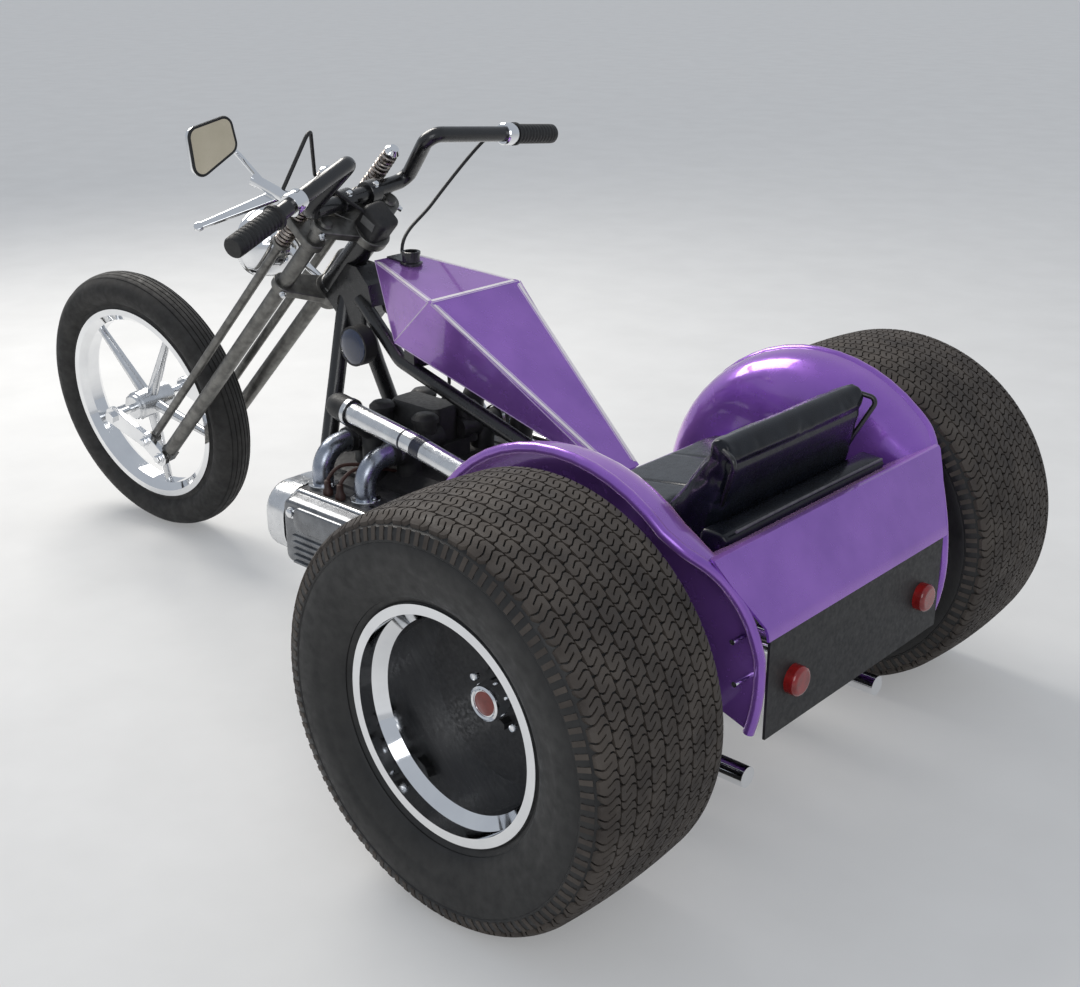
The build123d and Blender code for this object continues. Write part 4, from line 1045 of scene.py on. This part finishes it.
# Fork springs: wire coils between the perches, closing in towards their caps
SPRING_RUNS = ((1172.0, 1237.0, 16.0, 16.0), (1257.0, 1405.0, 16.0, 13.5))
WIRE = 4.0
COIL_PITCH = 10.6
COIL_STEPS = 18
bm, caps = bmesh.new(), bmesh.new()
for sign in (1, -1):
    for bottom, top, low_radius, high_radius in SPRING_RUNS:
        turns = (top - bottom - 2 * WIRE) / COIL_PITCH
        steps = ceil(turns * COIL_STEPS)
        line = []
        for k in range(steps + 1):
            share = k / steps
            turn = 2 * pi * turns * share
            radius = low_radius + (high_radius - low_radius) * share ** 2
            line.append(on_fork(
                SPRING_AHEAD + radius * cos(turn), sign * LEG_LEFT + radius * sin(turn),
                bottom + WIRE + (top - bottom - 2 * WIRE) * share,
            ))
        add_pipe(bm, line, WIRE, 8)
    add_turned(caps, on_fork(SPRING_AHEAD, sign * LEG_LEFT, SPRING_RUNS[1][1]), STEER_AXIS, [
        (-1, 7), (-1, 17), (3, 17.5), (6, 15.5), (11, 11.5), (13.5, 10.5), (13.5, 0),
    ], 32)
piece("fork_coils", bm, SPRING_WIRE, "steering", "fork_springs")
piece("fork_coil_caps", caps, CHROME, "steering")

# Fuel tank's pinstripes: a broad line beside a fine one along the upper edges, fine ones elsewhere
TANK = {
    "nose": (864, 54, 879), "shoulder": (615, 131, 843), "tail": (202, 36, 552),
    "chin": (782, 80, 717), "heel": (217, 33, 537),
}
TANK_MIDDLE = at(560, 0, 740)
STRIPE_LIFT = 0.0004


def tank_corner(name, sign):
    """A corner of the tank on its left (1) or right (-1)."""
    x, y, z = TANK[name]
    return at(x, sign * y, z)


def add_stripe(bm, start, end, third, inset, width):
    """A stripe beside an edge from start to end, on the facet that third also lies on."""
    run = (end - start).normalized()
    inward = third - start
    inward = (inward - run * inward.dot(run)).normalized()
    normal = run.cross(inward)
    if normal.dot((start + end + third) / 3 - TANK_MIDDLE) < 0:
        normal = -normal
    trim = inset + width
    corners = [
        start + run * trim + inward * inset, end - run * trim + inward * inset,
        end - run * trim * 1.3 + inward * trim, start + run * trim * 1.3 + inward * trim,
    ]
    tops = [bm.verts.new(corner + normal * STRIPE_LIFT) for corner in corners]
    feet = [bm.verts.new(corner - normal * STRIPE_LIFT) for corner in corners]
    bm.faces.new(tops)
    join_rings(bm, tops, feet)


pale, lilac = bmesh.new(), bmesh.new()
for sign in (1, -1):
    nose, shoulder, tail, chin, heel = [tank_corner(name, sign) for name in TANK]
    far_nose, far_tail = tank_corner("nose", -sign), tank_corner("tail", -sign)
    for start, end, third in ((nose, shoulder, far_nose), (shoulder, tail, far_tail)):
        add_stripe(pale, start, end, third, 0.0006, 0.0075)
        add_stripe(lilac, start, end, third, 0.0098, 0.0026)
    for start, end, third in ((nose, shoulder, chin), (shoulder, tail, heel)):
        add_stripe(lilac, start, end, third, 0.0006, 0.0030)
    for start, end, third in (
        (shoulder, chin, nose), (nose, chin, shoulder), (chin, heel, shoulder), (shoulder, heel, tail),
    ):
        add_stripe(lilac, start, end, third, 0.0012, 0.0026)
left_shoulder, right_shoulder = tank_corner("shoulder", 1), tank_corner("shoulder", -1)
add_stripe(pale, left_shoulder, right_shoulder, tank_corner("nose", 1), 0.0006, 0.0085)
add_stripe(lilac, left_shoulder, right_shoulder, tank_corner("tail", 1), 0.001, 0.0025)
piece("tank_stripes_pale", pale, STRIPE_PALE, "frame", smooth=False)
piece("tank_stripes_lilac", lilac, STRIPE_LILAC, "frame", smooth=False)

# Wheel centres: a chrome cup with a red centre, acorn nuts on the studs
LUG_RADIUS = 57.15
LUG_Y = 577.0
CAP_Y = 615.0
for side, sign in (("left", 1), ("right", -1)):
    body = f"rear_wheel_{side}"
    out = LEFT * sign
    cap = at(0, sign * CAP_Y, WHEEL_UP)
    bm = bmesh.new()
    add_turned(bm, cap, out, [
        (-54, 33.5), (-6, 33.5), (1.5, 31), (3.5, 27), (1.5, 23.5), (-4, 22.5), (-4, 0),
    ], 48)
    for count in range(5):
        turn = radians(18 + 72 * count)
        add_turned(
            bm, at(LUG_RADIUS * cos(turn), sign * LUG_Y, WHEEL_UP + LUG_RADIUS * sin(turn)), out,
            [(0, 8.5), (6, 8.5), (10, 6), (12, 0)], 12,
        )
    piece(f"cap_ring_{side}", bm, CHROME, body)
    bm = bmesh.new()
    add_turned(bm, cap, out, [(-4, 22.2), (0.5, 21.5), (1.8, 14), (2, 0)], 40)
    piece(f"cap_badge_{side}", bm, CAP_RED, body)

# Engine dressing: cover gaskets, flanges and bolts, hose clamps, the left pipe's bands, plug leads
gaskets, flanges, steel, clamps = bmesh.new(), bmesh.new(), bmesh.new(), bmesh.new()
for sign in (1, -1):
    add_loop(gaskets, cover_ring(sign, 291, 134.5, 82.5, 30.5), 3)
    add_loop(flanges, cover_ring(sign, 298, 133.5, 81.5, 29.5), 4.2)
    out = LEFT * sign
    for x in (842, 655):
        add_turned(steel, at(x, sign * 332, 388), out, [
            (0, 13), (6, 13), (6, 10), (12, 9.5), (14.5, 6.5), (15, 0),
        ], 20)
    for x in RUNNER_XS:
        add_turned(clamps, at(x, sign * RUNNER_Y, 420), UP, [
            (0, 22.5), (0, 33), (6, 33), (7.5, 31.5), (7.5, 22.5),
        ], 32)
        for shift in (-1, 1):
            add_bolt(steel, at(x + shift * 29, sign * RUNNER_Y, 427), UP, 4.5, 6)
        add_turned(clamps, at(x, sign * 158, 508), Vector((0, -sign, 0.08)), sleeve(9, 29.2, 27.2), 32)
pipe_front, pipe_bend, pipe_back = [at(x, PIPE_Y, z) for x, z in PIPE_LINE]
run, run_back = pipe_bend - pipe_front, pipe_back - pipe_bend
for sign in (1, -1):
    add_turned(clamps, at(736, sign * PIPE_Y, 617.5), run, sleeve(10, 28.5, 26.8), 32)
piece("cover_gaskets", gaskets, SOFT, "frame")
piece("cover_flanges", flanges, POLISHED, "frame")
piece("cover_bolts", steel, CHROME, "frame")
piece("hose_clamps", clamps, POLISHED, "frame", slot="chrome")
bands = bmesh.new()
for x, z, way, length in ((570, 593.6, run, 4), (536, 588.6, run_back, 26)):
    add_turned(bands, at(x, PIPE_Y, z), way, sleeve(length, 23.4, 22.4), 36)
piece("pipe_bands", bands, BAND, "frame")

leads = bmesh.new()
for sign in (1, -1):
    for x, foot_x in ((800, 770), (760, 740)):
        line = smooth_path([
            at(x, sign * 268, 418), at(x, sign * 268, 452), at(x - 8, sign * 236, 478),
            at(foot_x, sign * 180, 470), at(foot_x, sign * 128, 450),
        ], 8)
        add_pipe(leads, line, 4, 8)
        add_turned(leads, at(x, sign * 268, 418), UP, [
            (0, 11), (12, 11), (16, 8), (34, 7), (36, 4),
        ], 16)
piece("plug_leads", leads, LEAD, "frame")

# Horn, filler and controls: a glossy face, a hinge strap, a blank tag, clamp bolts
bm = bmesh.new()
add_turned(bm, at(900, 96, 690), LEFT, [
    (0, 39.5), (1.5, 38), (4, 30), (5.5, 18), (6, 0),
], 40)
piece("horn_face", bm, BLUE_GLOSS, "frame")

tank_run = (tank_corner("nose", 0) - tank_corner("shoulder", 0)).normalized()
FILLER_X = 806.0
bm = bmesh.new()
strap = at(FILLER_X + 40, 0, 876.6)
add_slab(bm, [
    strap + tank_run * x + LEFT * y for x, y in ((0.016, 0.020), (-0.030, 0.012), (-0.030, -0.012), (0.016, -0.020))
], tank_run.cross(LEFT), 4)
add_turned(bm, at(FILLER_X, 0, 872), UP, [(0, 19), (0, 24.5), (3, 24.5), (5, 19.5)], 36)
add_turned(bm, at(FILLER_X, 0, 893), UP, [(0, 19), (0, 20.5), (5.5, 20.5), (6.5, 18)], 36)
piece("filler_strap", bm, BLACK, "frame")

bm = bmesh.new()
tag = on_fork(6, 32, 1342)
add_slab(bm, [
    tag + STEER_AHEAD * x + STEER_AXIS * y
    for x, y in ((0.020, 0.006), (-0.016, 0.013), (-0.020, -0.006), (0.016, -0.013))
], STEER_LEFT, 1.2)
piece("box_tag", bm, TAG, "steering")

bm = bmesh.new()
for sign in (1, -1):
    for up in (1088, 1300):
        add_bolt(bm, on_fork(35, sign * 122, up), -STEER_AHEAD + STEER_LEFT * sign * 0.6, 6, 8)
    add_bolt(bm, on_fork(76, sign * 42, 1361), STEER_AXIS, 6, 7)
piece("clamp_bolts", bm, CHROME, "steering")

# Throttle cable: from the right grip to the carburettors, bending between fork and frame
cable_start = bar_point(-1, 151)
bm = bmesh.new()
line = smooth_path([
    cable_start, cable_start + (STEER_AHEAD - STEER_AXIS * 2).normalized() * 0.070, on_fork(20, -235, 1290),
    at(944, -100, 866), at(868, -108, 705), at(800, -98, 590), at(790, -38, 535),
], 12)
add_pipe(bm, line, 4, 10)
cable = piece("throttle_cable_bent", bm, SOFT, None)
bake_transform(cable)

# Seat: foam pads swollen by a cloth simulation, then pressed in along their seams and pleats
PAD_VOXEL = 0.005
PAD_PRESSURE = 4.0
PAD_FRAMES = 20
PAD_RELAX = 6
PAD_FLOOR = 0.5324


def settled_mesh(item):
    """An object's mesh with its modifiers applied."""
    bpy.context.view_layer.update()
    graph = bpy.context.evaluated_depsgraph_get()
    return bpy.data.meshes.new_from_object(item.evaluated_get(graph), depsgraph=graph)


def pad_block(outline, half_of, shrink=5.0):
    """A pad before it swells: an outline of (x, z) across the seat, as far out as half_of says for a height."""
    middle_x = sum(x for x, z in outline) / len(outline)
    middle_z = sum(z for x, z in outline) / len(outline)
    width = max(x for x, z in outline) - min(x for x, z in outline)
    height = max(z for x, z in outline) - min(z for x, z in outline)
    bm = bmesh.new()
    add_skin(bm, [
        [
            at(
                middle_x + (x - middle_x) * (1 - 2 * shrink / width), sign * (half_of(z) - shrink),
                middle_z + (z - middle_z) * (1 - 2 * shrink / height),
            ) for x, z in outline
        ] for sign in (1, -1)
    ])
    bmesh.ops.recalc_face_normals(bm, faces=bm.faces)
    return bm


def swell(name, bm, cap=0.008):
    """A padded mesh from a block: remeshed, blown up as cloth by no more than cap, relaxed, kept off its floor."""
    mesh = bpy.data.meshes.new(name)
    bm.to_mesh(mesh)
    bm.free()
    item = bpy.data.objects.new(name, mesh)
    bpy.context.scene.collection.objects.link(item)
    remesh = item.modifiers.new("remesh", "REMESH")
    remesh.mode = "VOXEL"
    remesh.voxel_size = PAD_VOXEL
    even = settled_mesh(item)
    item.modifiers.clear()
    item.data = even
    start = [vertex.co.copy() for vertex in even.vertices]
    cloth = item.modifiers.new("cloth", "CLOTH")
    cloth.settings.use_pressure = True
    cloth.settings.uniform_pressure_force = PAD_PRESSURE
    cloth.settings.effector_weights.gravity = 0
    cloth.point_cache.frame_start = 1
    cloth.point_cache.frame_end = PAD_FRAMES
    for frame_number in range(1, PAD_FRAMES + 1):
        bpy.context.scene.frame_set(frame_number)
    swollen = settled_mesh(item)
    item.modifiers.clear()
    for vertex, first, last in zip(even.vertices, start, swollen.vertices):
        move = last.co - first
        if move.length > cap:
            move = move.normalized() * cap
        vertex.co = first + move
    bpy.context.scene.frame_set(1)
    relaxer = item.modifiers.new("relaxer", "SMOOTH")
    relaxer.factor = 0.5
    relaxer.iterations = PAD_RELAX
    even = settled_mesh(item)
    item.modifiers.clear()
    item.data = even
    for vertex in even.vertices:
        vertex.co.z = max(vertex.co.z, PAD_FLOOR)
    smoother = item.modifiers.new("smoother", "SUBSURF")
    smoother.levels = smoother.render_levels = 1
    final = settled_mesh(item)
    bpy.data.objects.remove(item)
    return final


def press(mesh, points, depth, width):
    """A groove pressed into a mesh along a line through points: its deepest at the line, its sides rounded."""
    line = np.array([tuple(spot) for spot in smooth_path([Vector(point) for point in points], 90)])
    places = np.empty(3 * len(mesh.vertices))
    normals = np.empty(3 * len(mesh.vertices))
    mesh.vertices.foreach_get("co", places)
    mesh.vertices.foreach_get("normal", normals)
    places, normals = places.reshape(-1, 3), normals.reshape(-1, 3)
    away = np.full(len(places), 1.0)
    for spot in line:
        away = np.minimum(away, np.linalg.norm(places - spot, axis=1))
    places -= normals * (depth * np.exp(-((away / width) ** 2)))[:, None]
    mesh.vertices.foreach_set("co", places.ravel())
    mesh.update()


SEAT_HALF = 262.0
BASE_OUTLINE = ((196, 531), (196, 548), (184, 562), (60, 583), (-58, 602), (-58, 531))
BACK_OUTLINE = (
    (-60, 531), (-60, 604), (-136, 722), (-139, 744), (-147, 757), (-160, 764), (-174, 762), (-185, 752), (-189, 738),
    (-184, 722), (-156, 600), (-150, 531),
)
ROLL_OUTLINE = ((-156, 531), (-159, 600), (-166, 612), (-214, 613), (-223, 600), (-218, 590), (-199, 576), (-188, 531))

base_pad = swell("base_pad", pad_block(BASE_OUTLINE, lambda z: SEAT_HALF))
for y in (-85, 85):
    press(base_pad, [at(190, y, 560), at(60, y, 584), at(-50, y, 602)], 0.004, 0.005)
for y in (-258, 258):
    press(base_pad, [at(196, y, 550), at(60, y, 578), at(-58, y, 596)], 0.003, 0.004)
piece("seat_base_pad", base_pad, VINYL, "frame", "seat_base")

back_pad = swell("back_pad", pad_block(BACK_OUTLINE, lambda z: 240 - 20 * max(z - 600, 0) / 168))
for z in (560, 576, 592, 608):
    for sign in (1, -1):
        pleat = [at(-66, sign * 240, z + 8), at(-104, sign * 246, z), at(-140, sign * 242, z - 10)]
        press(back_pad, pleat, 0.0035, 0.0055)
press(back_pad, [at(-134, 232, 715), at(-130, 0, 716), at(-134, -232, 715)], 0.003, 0.006)
press(back_pad, [at(-184, 232, 713), at(-181, 0, 712), at(-184, -232, 713)], 0.003, 0.008)
piece("backrest_pad", back_pad, VINYL, "frame", "backrest")

roll_pad = swell("roll_pad", pad_block(ROLL_OUTLINE, lambda z: SEAT_HALF, 2.5), 0.004)
piece("seat_roll_pad", roll_pad, VINYL, "frame", "seat_roll")

bm = bmesh.new()
piping = smooth_path([at(-219, 236, 612), at(-220, 120, 614), at(-220, -60, 614), at(-219, -236, 612)], 8)
add_pipe(bm, piping, 2.8, 8)
piece("roll_piping", bm, PIPING, "frame")

# Floor, light and camera
FLOOR_GLOW = 0.22
bpy.ops.mesh.primitive_plane_add(size=60, location=(0, 0, -0.0005))
floor = bpy.context.object
floor.name = "floor"
floor_paint, tree, shader, place = new_material("floor_paint")
mottle = ramp(tree, noise(tree, place, 4.0), (0.50, 0.50, 0.495), (0.54, 0.54, 0.535))
tree.links.new(mottle, shader.inputs["Base Color"])
shader.inputs["Roughness"].default_value = 0.9
shader.inputs["Emission Color"].default_value = (1, 1, 1, 1)
rays = tree.nodes.new("ShaderNodeLightPath").outputs
glow = rays["Is Camera Ray"]
for source in (rays["Is Glossy Ray"], rays["Is Transmission Ray"]):
    adder = add_node(tree, "Math", [(0, glow), (1, source)])
    adder.use_clamp = True
    glow = adder.outputs["Value"]
dimmer = add_node(tree, "Math", [(0, glow)], [(1, FLOOR_GLOW)])
dimmer.operation = "MULTIPLY"
tree.links.new(dimmer.outputs["Value"], shader.inputs["Emission Strength"])
paint(floor, floor_paint)

world = bpy.data.worlds.new("soft_sky")
bpy.context.scene.world = world
world.use_nodes = True
world.node_tree.nodes["Background"].inputs["Color"].default_value = (0.80, 0.86, 0.95, 1)
world.node_tree.nodes["Background"].inputs["Strength"].default_value = 0.55


def lamp(name, place, target, size, power, colour=(1, 1, 1)):
    """An area light aimed at a point."""
    data = bpy.data.lights.new(name, "AREA")
    data.shape = "RECTANGLE"
    data.size, data.size_y = size
    data.energy = power
    data.color = colour
    light = bpy.data.objects.new(name, data)
    light.location = place
    light.rotation_euler = (Vector(target) - Vector(place)).to_track_quat("-Z", "Y").to_euler()
    bpy.context.scene.collection.objects.link(light)


lamp("sun_panel", (2.9, -0.6, 3.6), (-0.3, 0, 0.4), (2.6, 2.6), 175, (1.0, 0.96, 0.9))
lamp("camera_fill", (-3.2, 3.4, 2.6), (0, 0, 0.4), (2.5, 2.5), 38)

# The camera as it was fitted to the photograph, its focal length in pixels of the photograph's width
FOCAL_PIXELS, PHOTO_WIDTH, SENSOR_WIDTH = 1461.2, 1080, 36.0
camera_data = bpy.data.cameras.new("camera")
camera = bpy.data.objects.new("camera", camera_data)
bpy.context.scene.collection.objects.link(camera)
bpy.context.scene.camera = camera
camera.location = (REAR_X - 1.479, 2.1055, 1.5596)
yaw, pitch, roll = radians(-47.73), radians(21.48), radians(-0.12)
ahead = Vector((cos(yaw) * cos(pitch), sin(yaw) * cos(pitch), -sin(pitch)))
camera.rotation_mode = "QUATERNION"
camera.rotation_quaternion = ahead.to_track_quat("-Z", "Y") @ Matrix.Rotation(roll, 3, "Z").to_quaternion()
camera_data.sensor_width = SENSOR_WIDTH
camera_data.lens = SENSOR_WIDTH * FOCAL_PIXELS / PHOTO_WIDTH

bpy.context.scene.view_settings.view_transform = "Standard"
